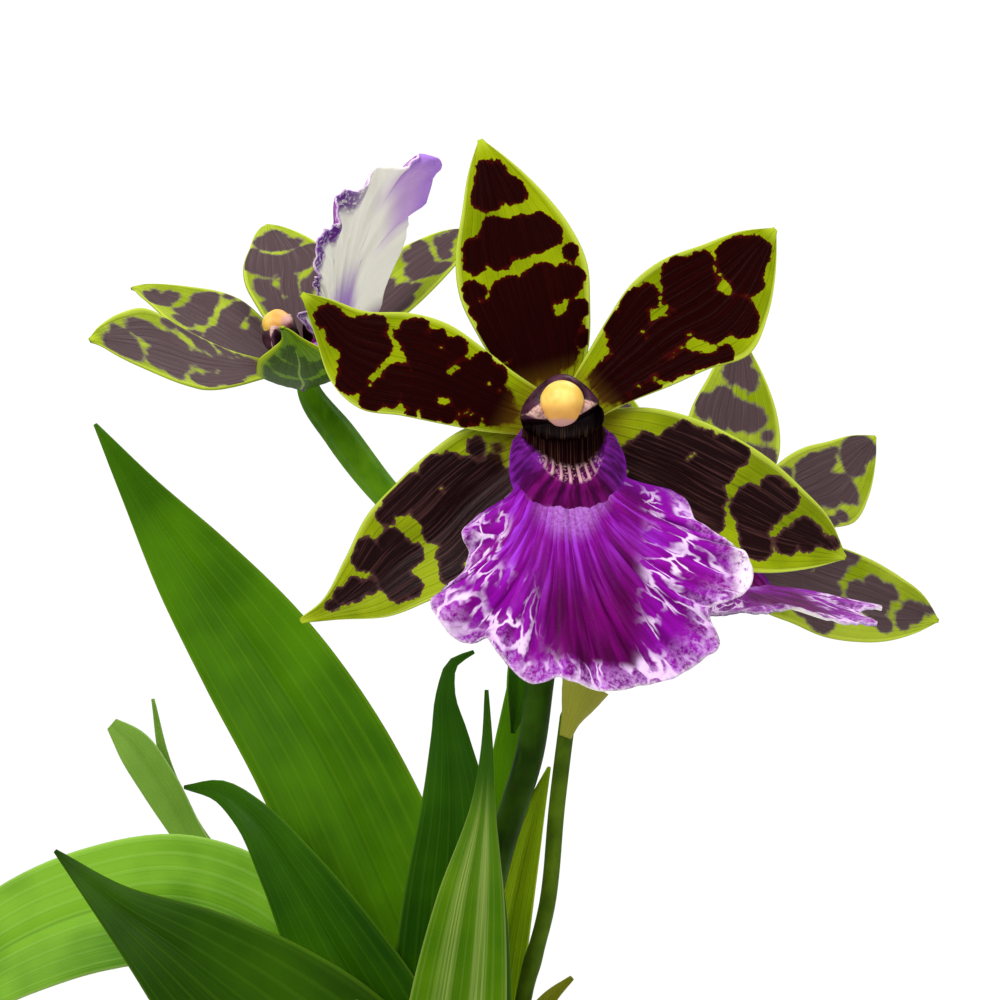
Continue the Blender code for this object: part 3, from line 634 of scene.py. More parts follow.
def use_group(tree, group, inputs):
    """Place a node group in a tree and give its outputs."""
    made = tree.nodes.new("ShaderNodeGroup")
    made.node_tree = group
    for key, value in inputs.items():
        if isinstance(value, bpy.types.NodeSocket):
            tree.links.new(value, made.inputs[key])
        else:
            made.inputs[key].default_value = value
    return made.outputs


def leaf_finish(name, deep, fresh, pale, stripe=0.0, foot=None, veins=9.0):
    """A satin leaf skin. Stripe is how far pale streaks show beside the midrib."""
    material, tree, shader = new_finish(name, Roughness=0.45, Specular_IOR_Level=0.05)
    across, along, _ = place_of(tree)
    grain = use_group(tree, fibres, {"Across": across, "Along": along, "Veins": veins})
    front = add_node(tree, "ShaderNodeAttribute", attribute_name="front").outputs["Fac"]
    clouds = object_spots(tree, 38.0, 3.0)
    cells = object_spots(tree, 2600.0, 1.0)
    off_middle = work_out(tree, "ABSOLUTE", across)
    skin = blend(tree, ease(tree, clouds, 0.32, 0.68), deep, fresh)
    skin = blend(tree, times(tree, ease(tree, grain["Streak"], 0.42, 0.7), 0.25), skin, fresh)
    skin = blend(tree, times(tree, grain["Vein"], 0.07), skin, pale)
    # Darker along the midrib: painted shade in its groove.
    skin = blend(tree, times(tree, ease(tree, off_middle, 0.06, 0.01), 0.3), skin, deep)
    skin = blend(tree, times(tree, ease(tree, off_middle, 0.93, 1.0), 0.3), skin, pale)
    if stripe:
        band = times(tree, ease(tree, off_middle, 0.16, 0.32), ease(tree, off_middle, 0.62, 0.4))
        band = times(tree, band, ease(tree, grain["Streak"], 0.35, 0.6, 0.25, 1.0))
        band = times(tree, band, ease(tree, along, 0.5, 0.7, 0.2, 1.0))
        skin = blend(tree, times(tree, band, stripe), skin, pale)
        skin = blend(tree, ease(tree, along, 0.86, 0.93), skin, shade(40, 78, 2))
    if foot:
        skin = blend(tree, ease(tree, along, 0.25, 0.02), skin, foot)
    skin = blend(tree, times(tree, ease(tree, front, 1.0, 0.0), 0.35), skin, pale)
    tree.links.new(skin, shader.inputs["Base Color"])
    tree.links.new(ease(tree, cells, 0.3, 0.7, 0.36, 0.48), shader.inputs["Roughness"])
    height = work_out(tree, "ADD", times(tree, grain["Streak"], 0.8), grain["Vein"])
    raise_skin(tree, shader, work_out(tree, "ADD", height, times(tree, cells, 0.25)), 0.045)
    return material


# The pale foot of every leaf, and the deep, fresh and pale colours of each tone.
PALE_FOOT = shade(150, 170, 90)
# Beside each leaf's own green, the dark and deep tones carry painted shade and the light and yellow tones
# painted light.
LEAF_TONES = {
    "mid": (shade(42, 82, 0), shade(68, 114, 0), shade(116, 152, 24)),
    "deep": (shade(20, 56, 0), shade(42, 84, 0), shade(92, 132, 24)),
    "dark": (shade(22, 50, 0), shade(42, 78, 0), shade(92, 130, 24)),
    "light": (shade(66, 112, 10), shade(112, 160, 36), shade(176, 206, 116)),
    "yellow": (shade(100, 136, 0), shade(132, 164, 4), shade(182, 196, 80)),
    "olive": (shade(48, 88, 0), shade(86, 120, 2), shade(160, 172, 96)),
    "grey": (shade(76, 116, 26), shade(110, 146, 52), shade(164, 190, 116)),
}
leaf_skins = {
    tone: leaf_finish(f"leaf_{tone}", *colours, stripe=0.42 if tone == "olive" else 0.0, foot=PALE_FOOT)
    for tone, colours in LEAF_TONES.items()
}

# Each leaf: tone, stations along the midrib, where it faces at foot and tip.
LEAVES = {
    "leaf_streaked": ("olive", [
        (-0.6, -21.6, 95.0, 6.2), (1.0, -23.4, 125.0, 6.8), (2.0, -24.8, 155.0, 7.4),
        (0.2, -25.6, 180.0, 7.8), (-0.6, -25.6, 199.7, 7.8), (1.0, -25.4, 214.8, 7.0),
        (2.8, -23.8, 229.4, 4.9), (4.6, -17.6, 242.2, 1.7), (5.1, -12.0, 249.8, 0.8),
        (5.0, -8.4, 256.7, 0.3)], NEAR, NEAR),
    "leaf_front_left": ("dark", [
        (-1.0, -19.2, 95.0, 5.8), (-2.0, -20.8, 130.0, 7.4), (-4.4, -22.0, 160.0, 10.4),
        (-8.2, -22.6, 184.0, 13.2), (-16.8, -22.8, 200.4, 14.2), (-28.0, -23.2, 212.0, 12.0),
        (-38.5, -22.4, 220.6, 7.9), (-49.0, -19.5, 227.3, 3.2),
        (-58.4, -15.5, 234.2, 0.3)], NEAR, TIP_AHEAD),
    "leaf_small": ("yellow", [
        (-11.0, -22.0, 96.0, 3.2), (-10.0, -26.6, 130.0, 4.2), (-9.4, -29.4, 165.0, 4.4),
        (-10.4, -29.6, 190.0, 3.4), (-12.0, -29.2, 206.0, 1.7),
        (-13.4, -28.6, 216.5, 0.3)], NEAR, NEAR),
    "leaf_mid": ("deep", [
        (-1.2, -16.8, 96.0, 5.4), (-2.2, -18.2, 140.0, 7.2), (-4.8, -18.8, 185.0, 9.0),
        (-10.1, -18.6, 206.9, 8.5), (-17.5, -16.6, 220.1, 7.0), (-24.3, -13.8, 230.9, 4.6),
        (-30.2, -10.6, 238.1, 2.7), (-35.0, -7.6, 240.9, 1.7), (-40.9, -5.0, 240.8, 0.3)], NEAR, NEAR),
    "leaf_hooked": ("deep", [
        (-1.2, -14.4, 96.0, 5.0), (-0.8, -15.3, 140.0, 7.2), (-0.6, -15.4, 180.0, 9.0),
        (-0.4, -15.0, 207.0, 9.2), (0.2, -14.2, 226.7, 7.6), (0.3, -12.2, 241.0, 4.9),
        (-0.5, -9.4, 250.0, 2.8), (-1.1, -7.4, 256.2, 1.4), (-0.1, -6.2, 260.2, 0.8),
        (3.1, -6.0, 262.0, 0.3)], NEAR, NEAR),
    "leaf_tall": ("mid", [
        (-1.4, -12.0, 97.0, 4.6), (-2.0, -12.2, 140.0, 7.4), (-1.6, -9.8, 175.0, 11.0),
        (-4.0, -7.4, 206.0, 11.6), (-12.2, -2.4, 226.9, 11.4), (-21.3, 3.1, 244.4, 10.8),
        (-31.0, 8.1, 258.4, 9.6), (-41.2, 12.0, 271.6, 6.8), (-50.4, 14.7, 284.0, 3.0),
        (-57.2, 16.1, 294.0, 0.3)], NEAR, NEAR),
    "leaf_right": ("yellow", [
        (2.5, 4.9, 139.0, 2.5), (3.6, 5.4, 165.0, 3.6), (5.6, 5.8, 195.0, 4.0),
        (8.9, 6.4, 218.2, 3.4), (11.2, 6.2, 229.0, 2.4), (13.2, 4.8, 236.5, 1.2),
        (14.6, 1.6, 242.0, 0.3)], NEAR, NEAR),
    "leaf_behind_lip": ("mid", [
        (-1.0, 9.0, 139.0, 2.6), (1.0, 10.0, 170.0, 4.2), (4.0, 11.4, 203.2, 4.6),
        (7.0, 12.6, 218.3, 4.2), (8.3, 14.0, 233.5, 3.8), (9.7, 16.0, 244.7, 3.0),
        (11.8, 17.4, 257.5, 1.8), (14.7, 17.4, 267.4, 0.3)], NEAR, NEAR),
    "leaf_arching": ("light", [
        (-7.0, 19.4, 96.0, 6.0), (-9.0, 18.0, 140.0, 7.5), (-14.0, 16.0, 180.0, 9.0),
        (-23.0, 16.0, 199.3, 9.8), (-33.7, 19.0, 210.1, 10.2), (-46.4, 21.4, 213.9, 10.6),
        (-59.8, 21.4, 212.2, 10.4), (-72.7, 19.1, 207.7, 9.6), (-86.0, 14.5, 199.0, 6.8),
        (-97.0, 9.0, 188.0, 3.0), (-103.0, 5.0, 180.0, 0.3)], NEAR, UPWARD),
    "leaf_back": ("grey", [
        (-21.0, 31.0, 131.0, 2.4), (-24.0, 29.6, 165.0, 3.0), (-29.0, 29.0, 196.2, 2.6),
        (-38.2, 31.0, 209.5, 2.2), (-46.3, 33.6, 220.7, 2.6), (-52.2, 36.4, 229.7, 3.3),
        (-57.4, 39.3, 236.1, 2.8), (-60.7, 40.7, 238.9, 1.2)], NEAR, NEAR),
    "leaf_sliver": ("grey", [
        (-22.0, 36.5, 131.0, 1.8), (-28.0, 36.5, 170.0, 2.2), (-38.5, 38.6, 208.2, 1.8),
        (-47.6, 41.3, 221.4, 1.3), (-52.1, 44.6, 230.5, 1.0), (-54.8, 48.1, 241.6, 0.3)], NEAR, NEAR),
    "leaf_low_right": ("mid", [
        (27.5, 14.0, 131.5, 3.0), (33.0, 11.0, 150.0, 7.0), (45.0, 5.0, 168.0, 10.0),
        (60.0, -2.0, 175.0, 10.5), (74.0, -8.0, 168.0, 7.5), (84.0, -12.0, 156.0, 3.0),
        (89.0, -14.0, 148.0, 0.3)], (0.6, 0.0, 1.0), (0.2, -0.3, 1.0)),
    "leaf_low_back": ("mid", [
        (-17.5, 34.0, 131.0, 3.0), (-12.0, 40.0, 148.0, 7.0), (0.0, 50.0, 160.0, 10.0),
        (14.0, 60.0, 160.0, 9.5), (26.0, 68.0, 150.0, 6.5), (34.0, 73.0, 138.0, 2.6),
        (38.0, 75.0, 130.0, 0.3)], (-0.4, 0.3, 1.0), (0.1, 0.2, 1.0)),
}
for name, (tone, stations, facing_foot, facing_tip) in LEAVES.items():
    leaf = new_piece(f"{name}_blade", leaf_mesh(name, stations, facing_foot, facing_tip), leaf_skins[tone])
    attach(leaf, "root")
    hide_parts(name)

# The flower stalks and the stem of each flower are firm and fleshy. The stalks swell a little at
# their joints, and each flower's stem thickens into a six-ribbed ovary below the flower.
STALKS = {
    "scape_left": (2.2, [
        (4.0, -6.2, 93.0), (3.5, -6.0, 140.0), (2.0, -3.6, 180.0), (2.5, -1.4, 205.5),
        (7.0, 1.9, 228.7), (11.5, 4.0, 243.0), (13.6, 5.2, 257.5)]),
    "scape_right": (1.25, [
        (14.5, -4.0, 93.0), (14.5, -9.5, 140.0), (12.0, -12.2, 185.0), (10.2, -11.0, 207.0),
        (14.3, -5.9, 223.3), (15.8, -2.8, 238.1), (17.6, 1.0, 251.5)]),
}
FLOWER_STEMS = {
    "front_pedicel": (2.0, [
        (13.7, 5.0, 256.8, 0.95), (14.4, 2.0, 261.6, 0.85), (13.9, -4.6, 272.0, 0.85),
        (14.5, -14.5, 284.5, 0.95), (14.8, -25.3, 293.6, 1.1), (14.8, -33.6, 298.2, 1.0),
        (14.8, -37.6, 299.0, 0.85)]),
    "left_pedicel": (2.0, [
        (13.4, 5.2, 256.6, 0.95), (11.6, 7.4, 261.4, 0.85), (5.4, 8.6, 268.0, 0.85),
        (-2.4, 10.5, 275.5, 0.95), (-10.3, 12.9, 282.5, 1.1), (-18.4, 15.2, 292.5, 1.2),
        (-23.2, 15.9, 299.4, 0.9), (-23.8, 15.4, 302.4, 0.7)]),
    "right_pedicel": (1.9, [
        (17.6, 1.0, 251.0, 0.7), (19.6, 3.2, 254.6, 0.75), (23.8, 8.6, 257.4, 0.8), (29.6, 15.4, 261.0, 0.9),
        (35.6, 19.0, 265.6, 1.05), (39.2, 17.6, 269.6, 1.0), (40.4, 14.0, 272.0, 0.85)]),
}


def jointed(along, turn):
    """A stalk that swells at three joints."""
    swell = sum(0.12 * math.exp(-(((along - joint) / 0.012) ** 2)) for joint in (0.22, 0.5, 0.76))
    return 1.0 + swell + 0.02 * noise.noise(Vector((along * 20, math.cos(turn), math.sin(turn))))


def ovary(along, turn):
    """A stem whose outer half has six soft ribs."""
    ribs = min(1.0, max(0.0, (along - 0.35) * 4)) * min(1.0, (1.02 - along) * 8)
    return 1.0 + 0.07 * ribs * math.cos(6 * turn)


def stalk_finish(name, dark, light, flecks):
    """A satin stalk skin with long streaks and small purple-brown flecks."""
    material, tree, shader = new_finish(name, Roughness=0.45, Specular_IOR_Level=0.06)
    clouds = object_spots(tree, 90.0, 3.0)
    streaks = object_spots(tree, 700.0, 3.0, 0.5, (1.0, 1.0, 0.1))
    spots = object_spots(tree, 1500.0, 2.0)
    skin = blend(tree, ease(tree, clouds, 0.3, 0.7), dark, light)
    skin = blend(tree, times(tree, ease(tree, streaks, 0.5, 0.75), 0.5), skin, light)
    skin = blend(tree, times(tree, ease(tree, spots, 0.62, 0.7), flecks), skin, shade(62, 40, 24))
    tree.links.new(skin, shader.inputs["Base Color"])
    tree.links.new(ease(tree, spots, 0.3, 0.7, 0.38, 0.52), shader.inputs["Roughness"])
    raise_skin(tree, shader, streaks, 0.1)
    return material


stalk_skin = stalk_finish("stalk_green", shade(16, 40, 0), shade(50, 82, 8), 0.5)
thin_stalk_skin = stalk_finish("stalk_olive", shade(42, 66, 0), shade(84, 110, 14), 0.35)
stem_skin = stalk_finish("stem_green", shade(48, 92, 0), shade(88, 134, 8), 0.12)
for name, (radius, stations) in STALKS.items():
    rod = bmesh.new()
    add_rod(rod, stations, radius, jointed, 260)
    skin = stalk_skin if name == "scape_left" else thin_stalk_skin
    stalk = new_piece(f"{name}_stalk", mesh_from(rod, f"{name}_stalk"), skin)
    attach(stalk, "root")
    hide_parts(name)
for name, (radius, stations) in FLOWER_STEMS.items():
    rod = bmesh.new()
    add_rod(rod, stations, radius, ovary, 110, 36)
    stem = new_piece(f"{name}_stem", mesh_from(rod, f"{name}_stem"), stem_skin)
    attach(stem, "root")
    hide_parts(name)

# The bracts are small papery leaves that clasp the stalks at their joints. They are straw green
# and veined lengthwise.
BRACTS = {
    "scape_bract": ([
        (12.6, -12.2, 208.0, 1.5), (14.6, -12.4, 210.6, 1.1), (17.8, -12.6, 213.6, 0.4)],
        (0.1, -1.0, 0.1), 0.3),
    "right_flower_bract": ([
        (17.0, -3.6, 248.2, 0.9), (17.9, -2.9, 250.6, 1.5), (19.2, -2.2, 253.2, 2.8),
        (20.6, -1.4, 256.0, 4.0)],
        (-0.1, 1.0, 0.1), 0.5),
    "left_flower_bract": ([
        (8.9, 7.2, 246.0, 0.4), (9.6, 9.4, 252.5, 2.4), (9.0, 12.2, 258.5, 0.6)],
        (0.6, -1.0, 0.2), 0.5),
}
bract_finish = leaf_finish(
    "bract_paper", shade(92, 96, 6), shade(132, 138, 28), shade(166, 162, 72), veins=7.0)
fresh_bract_finish = leaf_finish("bract_fresh", *LEAF_TONES["deep"], veins=7.0)
for name, (stations, facing, deep) in BRACTS.items():
    blade = leaf_mesh(name, stations, facing, facing, (deep, deep), 40, 25, 0.1, 0.3, 0.7)
    skin = fresh_bract_finish if name == "left_flower_bract" else bract_finish
    bract = new_piece(f"{name}_blade", blade, skin)
    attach(bract, "root")
    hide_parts(name)

# Each flower has three sepals and two petals, all waxy lime green and covered with near-black
# maroon blotches that leave the margin clear. A blotch is drawn as round patches that run together.
FLOWERS = {
    "front": dict(centre=(14.8, -39.6, 299.6), facing=(0.0, -0.990, 0.139), top=(0, 0, 1)),
    "left": dict(centre=(-23.7, 15.2, 302.0), facing=(0.0, -0.342, 0.940), top=(-0.87, 0.5, 0)),
    "right": dict(centre=(40.9, 11.1, 273.0), facing=(0.2, -0.96, 0.2), top=(0, 0, 1)),
}
PETAL_THICK = 1.0

# A petal's half-widths, left and right of its middle line, at these parts of its length.
ALONG = (0.0, 0.15, 0.3, 0.45, 0.6, 0.75, 0.9, 1.0)
SHAPES = {
    "dorsal": ((3.4, 5.6, 7.2, 8.1, 7.2, 4.9, 2.5, 0.3), (3.4, 6.4, 8.0, 9.0, 8.1, 5.9, 2.8, 0.3)),
    "petal_left": ((3.4, 5.4, 6.9, 8.3, 9.9, 8.4, 3.5, 0.3), (2.8, 3.4, 4.4, 5.0, 4.0, 1.7, 1.0, 0.3)),
    "petal_right": ((2.8, 4.4, 6.0, 7.2, 6.8, 4.8, 2.7, 0.3), (2.6, 4.0, 5.9, 7.6, 9.7, 7.7, 3.8, 0.3)),
    "sepal_left": ((5.2, 7.4, 8.3, 9.6, 8.2, 6.6, 2.9, 0.6), (4.2, 6.9, 7.2, 6.6, 5.5, 2.7, 0.2, 0.1)),
    "sepal_right": ((4.2, 6.9, 8.0, 8.0, 7.3, 5.7, 3.4, 0.3), (3.6, 6.7, 7.6, 8.5, 8.0, 6.4, 3.2, 0.3)),
}

# Angle clockwise from the top and reach of each kind on the front flower, which the blotches follow.
FRONT_LIE = {
    "dorsal": (-15.5, 38.8, 3.6), "petal_left": (-63.2, 37.5, 3.6), "petal_right": (47.8, 37.7, 3.6),
    "sepal_left": (-126.8, 42.7, 4.2), "sepal_right": (114.8, 41.5, 4.2),
}

# Patches on the front flower: across, up and radius from the flower's centre.
PATCHES = {
    "dorsal": (
        (-9.6, 29.8, 1.9), (-6.7, 30.7, 1.8), (-9.3, 32.2, 1.6), (-5.3, 30.0, 0.9), (-8.3, 33.3, 1.1),
        (-10.0, 33.6, 0.8), (-10.9, 22.4, 1.8), (-11.2, 20.9, 1.2), (-8.3, 25.0, 2.1),
        (-8.1, 22.2, 1.9), (-5.3, 24.5, 2.6), (-2.7, 25.1, 2.4), (-1.2, 24.8, 1.5), (1.4, 22.6, 0.9),
        (-11.2, 17.2, 1.4), (-10.2, 15.0, 1.4), (-6.2, 16.1, 3.1), (-2.2, 18.0, 2.9), (0.8, 18.7, 2.1),
        (2.0, 19.4, 1.1), (-4.3, 12.9, 4.4), (-7.6, 12.2, 3.1), (-0.4, 11.7, 2.5), (2.4, 15.0, 1.3),
        (1.5, 13.3, 1.3), (0.1, 9.4, 2.2), (-7.4, 10.2, 1.8), (-3.2, 8.9, 3.0), (-4.8, 7.0, 2.1),
        (-1.3, 7.5, 1.6), (3.1, 11.1, 0.8), (3.2, 11.7, 0.5),
    ),
    "petal_right": (
        (23.4, 21.1, 3.0), (25.2, 22.2, 2.0), (24.0, 18.7, 2.0), (22.0, 22.0, 1.7), (25.1, 18.0, 1.0),
        (17.8, 20.6, 1.5), (18.8, 21.3, 0.8), (15.4, 19.2, 2.3), (17.8, 18.5, 2.2), (15.2, 16.8, 1.9),
        (17.5, 15.6, 2.8), (20.3, 14.5, 2.3), (22.7, 14.2, 2.3), (23.6, 13.1, 1.9), (20.1, 12.4, 1.8),
        (18.3, 12.8, 1.8), (14.8, 12.4, 2.1), (13.4, 11.4, 2.1), (11.2, 16.6, 1.4), (9.6, 15.6, 1.7),
        (11.7, 15.9, 0.9), (9.4, 13.5, 2.0), (7.3, 12.4, 1.5), (7.0, 13.5, 0.8), (8.4, 10.5, 1.9),
        (11.0, 9.6, 2.1), (12.4, 10.5, 1.8), (10.0, 7.5, 2.1), (7.1, 7.0, 1.9), (11.2, 7.9, 1.4),
        (5.4, 5.8, 1.6), (6.6, 4.2, 1.6), (8.2, 5.4, 1.4), (14.0, 7.0, 1.4), (16.1, 8.0, 1.5),
        (18.0, 8.1, 0.9), (19.4, 8.2, 0.8), (21.2, 8.9, 1.1), (11.5, 4.6, 0.9), (10.1, 3.9, 0.7),
        (8.6, 3.2, 0.5), (12.6, 4.6, 0.5),
    ),
    "petal_left": (
        (-29.9, 13.9, 1.5), (-30.7, 13.6, 1.0), (-28.1, 11.8, 2.1), (-25.4, 12.2, 1.8),
        (-23.8, 12.6, 1.4), (-25.8, 9.9, 2.7), (-23.6, 9.9, 1.7), (-26.8, 7.3, 1.8), (-24.8, 7.7, 1.2),
        (-27.3, 5.4, 1.5), (-26.0, 5.4, 1.1), (-19.3, 12.0, 1.4), (-18.1, 12.6, 0.9),
        (-20.3, 11.4, 0.9), (-18.2, 9.9, 2.0), (-15.8, 11.2, 1.0), (-13.6, 9.9, 1.4), (-14.6, 8.7, 1.0),
        (-17.0, 7.3, 2.3), (-20.9, 5.8, 1.9), (-22.5, 4.6, 1.5), (-24.4, 3.2, 1.5), (-18.3, 4.2, 2.3),
        (-15.0, 5.4, 1.8), (-21.9, 3.2, 1.0), (-19.3, 2.8, 0.8), (-11.5, 5.8, 2.2), (-9.9, 8.1, 1.2),
        (-11.9, 6.9, 1.5), (-8.6, 6.1, 1.6), (-10.1, 3.4, 2.1), (-12.7, 3.4, 1.5), (-7.8, 3.4, 1.5),
        (-8.6, 1.3, 1.5), (-6.8, 1.5, 1.2), (-16.8, 1.5, 1.2), (-14.6, 1.3, 1.1), (-19.3, 1.3, 0.5),
        (-12.3, 0.4, 0.6), (-11.1, 0.6, 0.6),
    ),
    "sepal_left": (
        (-27.0, -21.2, 1.2), (-25.2, -21.2, 0.9), (-28.4, -22.4, 1.1), (-26.6, -22.2, 1.0),
        (-29.8, -23.7, 0.7), (-24.6, -21.2, 0.8), (-25.4, -16.0, 1.2), (-26.2, -17.8, 1.0),
        (-24.8, -17.2, 1.8), (-22.0, -15.2, 1.7), (-21.2, -17.2, 2.4), (-19.2, -17.0, 1.4),
        (-21.6, -20.0, 2.2), (-19.2, -21.2, 1.3), (-21.2, -21.8, 1.4), (-23.2, -19.0, 1.2),
        (-22.8, -11.8, 1.1), (-21.2, -10.0, 1.7), (-19.2, -8.6, 2.2), (-16.0, -6.0, 2.1),
        (-14.4, -4.8, 1.2), (-12.2, -5.8, 1.6), (-15.2, -9.6, 3.4), (-17.6, -11.2, 1.6),
        (-16.0, -13.6, 2.0), (-12.2, -9.6, 3.0), (-9.2, -7.0, 2.4), (-8.8, -4.8, 1.1),
        (-7.2, -7.6, 1.6), (-14.0, -17.0, 1.8), (-14.0, -19.2, 1.6), (-12.2, -14.0, 3.4),
        (-9.2, -11.0, 3.0), (-11.0, -2.8, 1.1), (-8.2, -2.8, 0.6),
    ),
    "sepal_right": (
        (11.3, -2.4, 1.4), (10.0, -3.9, 1.8), (14.7, -1.7, 1.3), (16.3, -0.9, 1.3), (18.6, -2.2, 1.6),
        (21.0, -3.0, 1.6), (23.0, -3.7, 1.6), (20.4, -5.6, 2.4), (17.3, -4.5, 2.6), (13.9, -4.5, 2.8),
        (11.7, -6.5, 2.8), (17.1, -7.6, 2.8), (19.9, -9.5, 1.9), (19.3, -12.1, 2.1), (15.0, -9.5, 3.2),
        (20.4, -13.0, 0.9), (8.5, -4.5, 1.3), (15.5, -13.0, 2.6), (24.9, -9.5, 1.7), (27.7, -8.0, 1.4),
        (29.5, -9.7, 1.7), (26.9, -10.8, 2.4), (24.1, -11.2, 1.7), (24.7, -13.4, 1.5),
        (26.0, -13.0, 1.7), (26.0, -16.0, 1.7), (24.7, -15.8, 1.1), (32.0, -13.4, 1.3),
        (30.3, -14.7, 1.3), (33.3, -14.5, 1.3), (29.7, -15.8, 1.3), (32.3, -15.6, 1.1),
        (35.1, -15.3, 0.8), (36.2, -15.6, 0.5),
    ),
}

# Small lime windows inside the blotches, in the same measures.
WINDOWS = {
    "dorsal": ((0.2, 15.1, 1.0), (-0.5, 15.4, 0.6), (-10.4, 16.1, 0.4)),
    "petal_right": (
        (12.9, 14.4, 0.7), (13.8, 14.1, 0.5), (12.1, 14.7, 0.5), (12.9, 16.3, 0.5), (10.7, 11.9, 0.5),
        (11.1, 11.2, 0.3), (16.8, 11.5, 0.5),
    ),
    "petal_left": (
        (-14.2, 6.9, 0.7), (-13.3, 7.3, 0.5), (-24.3, 5.8, 0.7), (-9.2, 5.3, 0.35), (-7.8, 4.4, 0.35),
    ),
    "sepal_left": ((-15.6, -8.2, 0.35), (-15.2, -8.8, 0.3)),
    "sepal_right": ((16.7, -4.4, 0.35), (17.2, -4.0, 0.3), (17.6, -3.7, 0.3)),
}

# How far a blotch spreads past its patches, and how softly the patches run together.
BLOTCH_SPREAD = 0.28
PATCH_MERGE = 0.22


def flower_axes(flower):
    """A flower's directions across, up and toward the viewer."""
    look = Vector(flower["facing"]).normalized()
    top = Vector(flower["top"])
    top = (top - look * top.dot(look)).normalized()
    return np.array(top.cross(look)), np.array(top), np.array(look)


def stand(points, flower):
    """Carry points made round a flower's own centre to where the flower is."""
    across, top, look = flower_axes(flower)
    centre = np.array(flower["centre"])
    return centre + points[..., :1] * across + points[..., 1:2] * top + points[..., 2:3] * look


def blotch_depth(kind, t, across_share, seed):
    """How deep inside a blotch each point of a petal lies, in millimetres; outside it is negative."""
    angle, reach, start = FRONT_LIE[kind]
    turn = math.radians(angle)
    left, right = SHAPES[kind]
    low, high = -smooth_between(t, ALONG, left), smooth_between(t, ALONG, right)
    far = start + (reach - start) * t
    side = low + (high - low) * (across_share + 1) / 2
    x = math.sin(turn) * far + math.cos(turn) * side
    y = math.cos(turn) * far - math.sin(turn) * side
    jitter = np.zeros(x.shape)
    for at in np.ndindex(x.shape):
        spot = Vector((x[at], y[at], seed))
        jitter[at] = 0.32 * noise.noise(spot * 0.9) + 0.2 * noise.noise(spot * 2.3)
    if seed:
        x = x + 0.9 * np.sin(0.4 * y + seed)
        y = y + 0.9 * np.sin(0.35 * x + 2 * seed)
    total = np.zeros(x.shape)
    for cx, cy, r in PATCHES[kind]:
        total += np.exp((r - np.hypot(x - cx, y - cy)) / PATCH_MERGE)
    depth = PATCH_MERGE * np.log(total + 1e-12)
    for cx, cy, r in WINDOWS[kind]:
        depth = np.minimum(depth, np.hypot(x - cx, y - cy) - r)
    return depth + jitter + BLOTCH_SPREAD


def petal_mesh(name, flower, kind, angle, reach, start, back, rise, arch, cup, wide, fold, twist=0.0, *,
               rows, columns, seed):
    """A petal or sepal: angle is its direction clockwise from the top, reach its tip's distance.

    Back sets its foot behind the flower's centre, rise tips it forward, arch bows it along its
    length, cup raises its margins, fold creases it along the middle and twist turns it on its axis.
    """
    turn = math.radians(angle)
    out = np.array((math.sin(turn), math.cos(turn), 0.0))
    right = np.array((math.cos(turn), -math.sin(turn), 0.0))
    t, v = np.meshgrid(np.linspace(0, 1, rows), np.linspace(-1, 1, columns), indexing="ij")
    left_half, right_half = (np.array(side) * wide for side in SHAPES[kind])
    low, high = -smooth_between(t, ALONG, left_half), smooth_between(t, ALONG, right_half)
    far = start + (reach - start) * t
    half = (high - low) / 2
    ripple = np.zeros(t.shape)
    for at in np.ndindex(t.shape):
        ripple[at] = noise.noise(Vector((3.1 * t[at] + reach, 1.3 * v[at], seed + angle)))
    lift = -back + far * math.tan(math.radians(rise)) + arch * 4 * t * (1 - t) + cup * half * v * v
    lift += fold * half * (np.sqrt(v * v + 0.004) - 0.063)
    lift += 0.45 * ripple * np.abs(v) * np.minimum(1, half / 5)
    lift += -0.5 * np.clip((t - 0.93) / 0.07, 0, 1) ** 2 + 0.05 * np.cos(v * math.pi * 9) * (1 - np.abs(v))
    side = low + (high - low) * (v + 1) / 2
    turned = np.radians(twist) * np.minimum(1, t * 2)
    points = out * far[..., None] + right * (side * np.cos(turned))[..., None]
    points[..., 2] = lift + side * np.sin(turned)
    thickness = PETAL_THICK * (1 - 0.6 * np.abs(v) ** 3) * (1 - 0.4 * t**4)
    place = np.stack([v, t, blotch_depth(kind, t, v, seed)], axis=2)
    return closed_sheet(name, stand(points, flower), thickness, flower_axes(flower)[2], place)


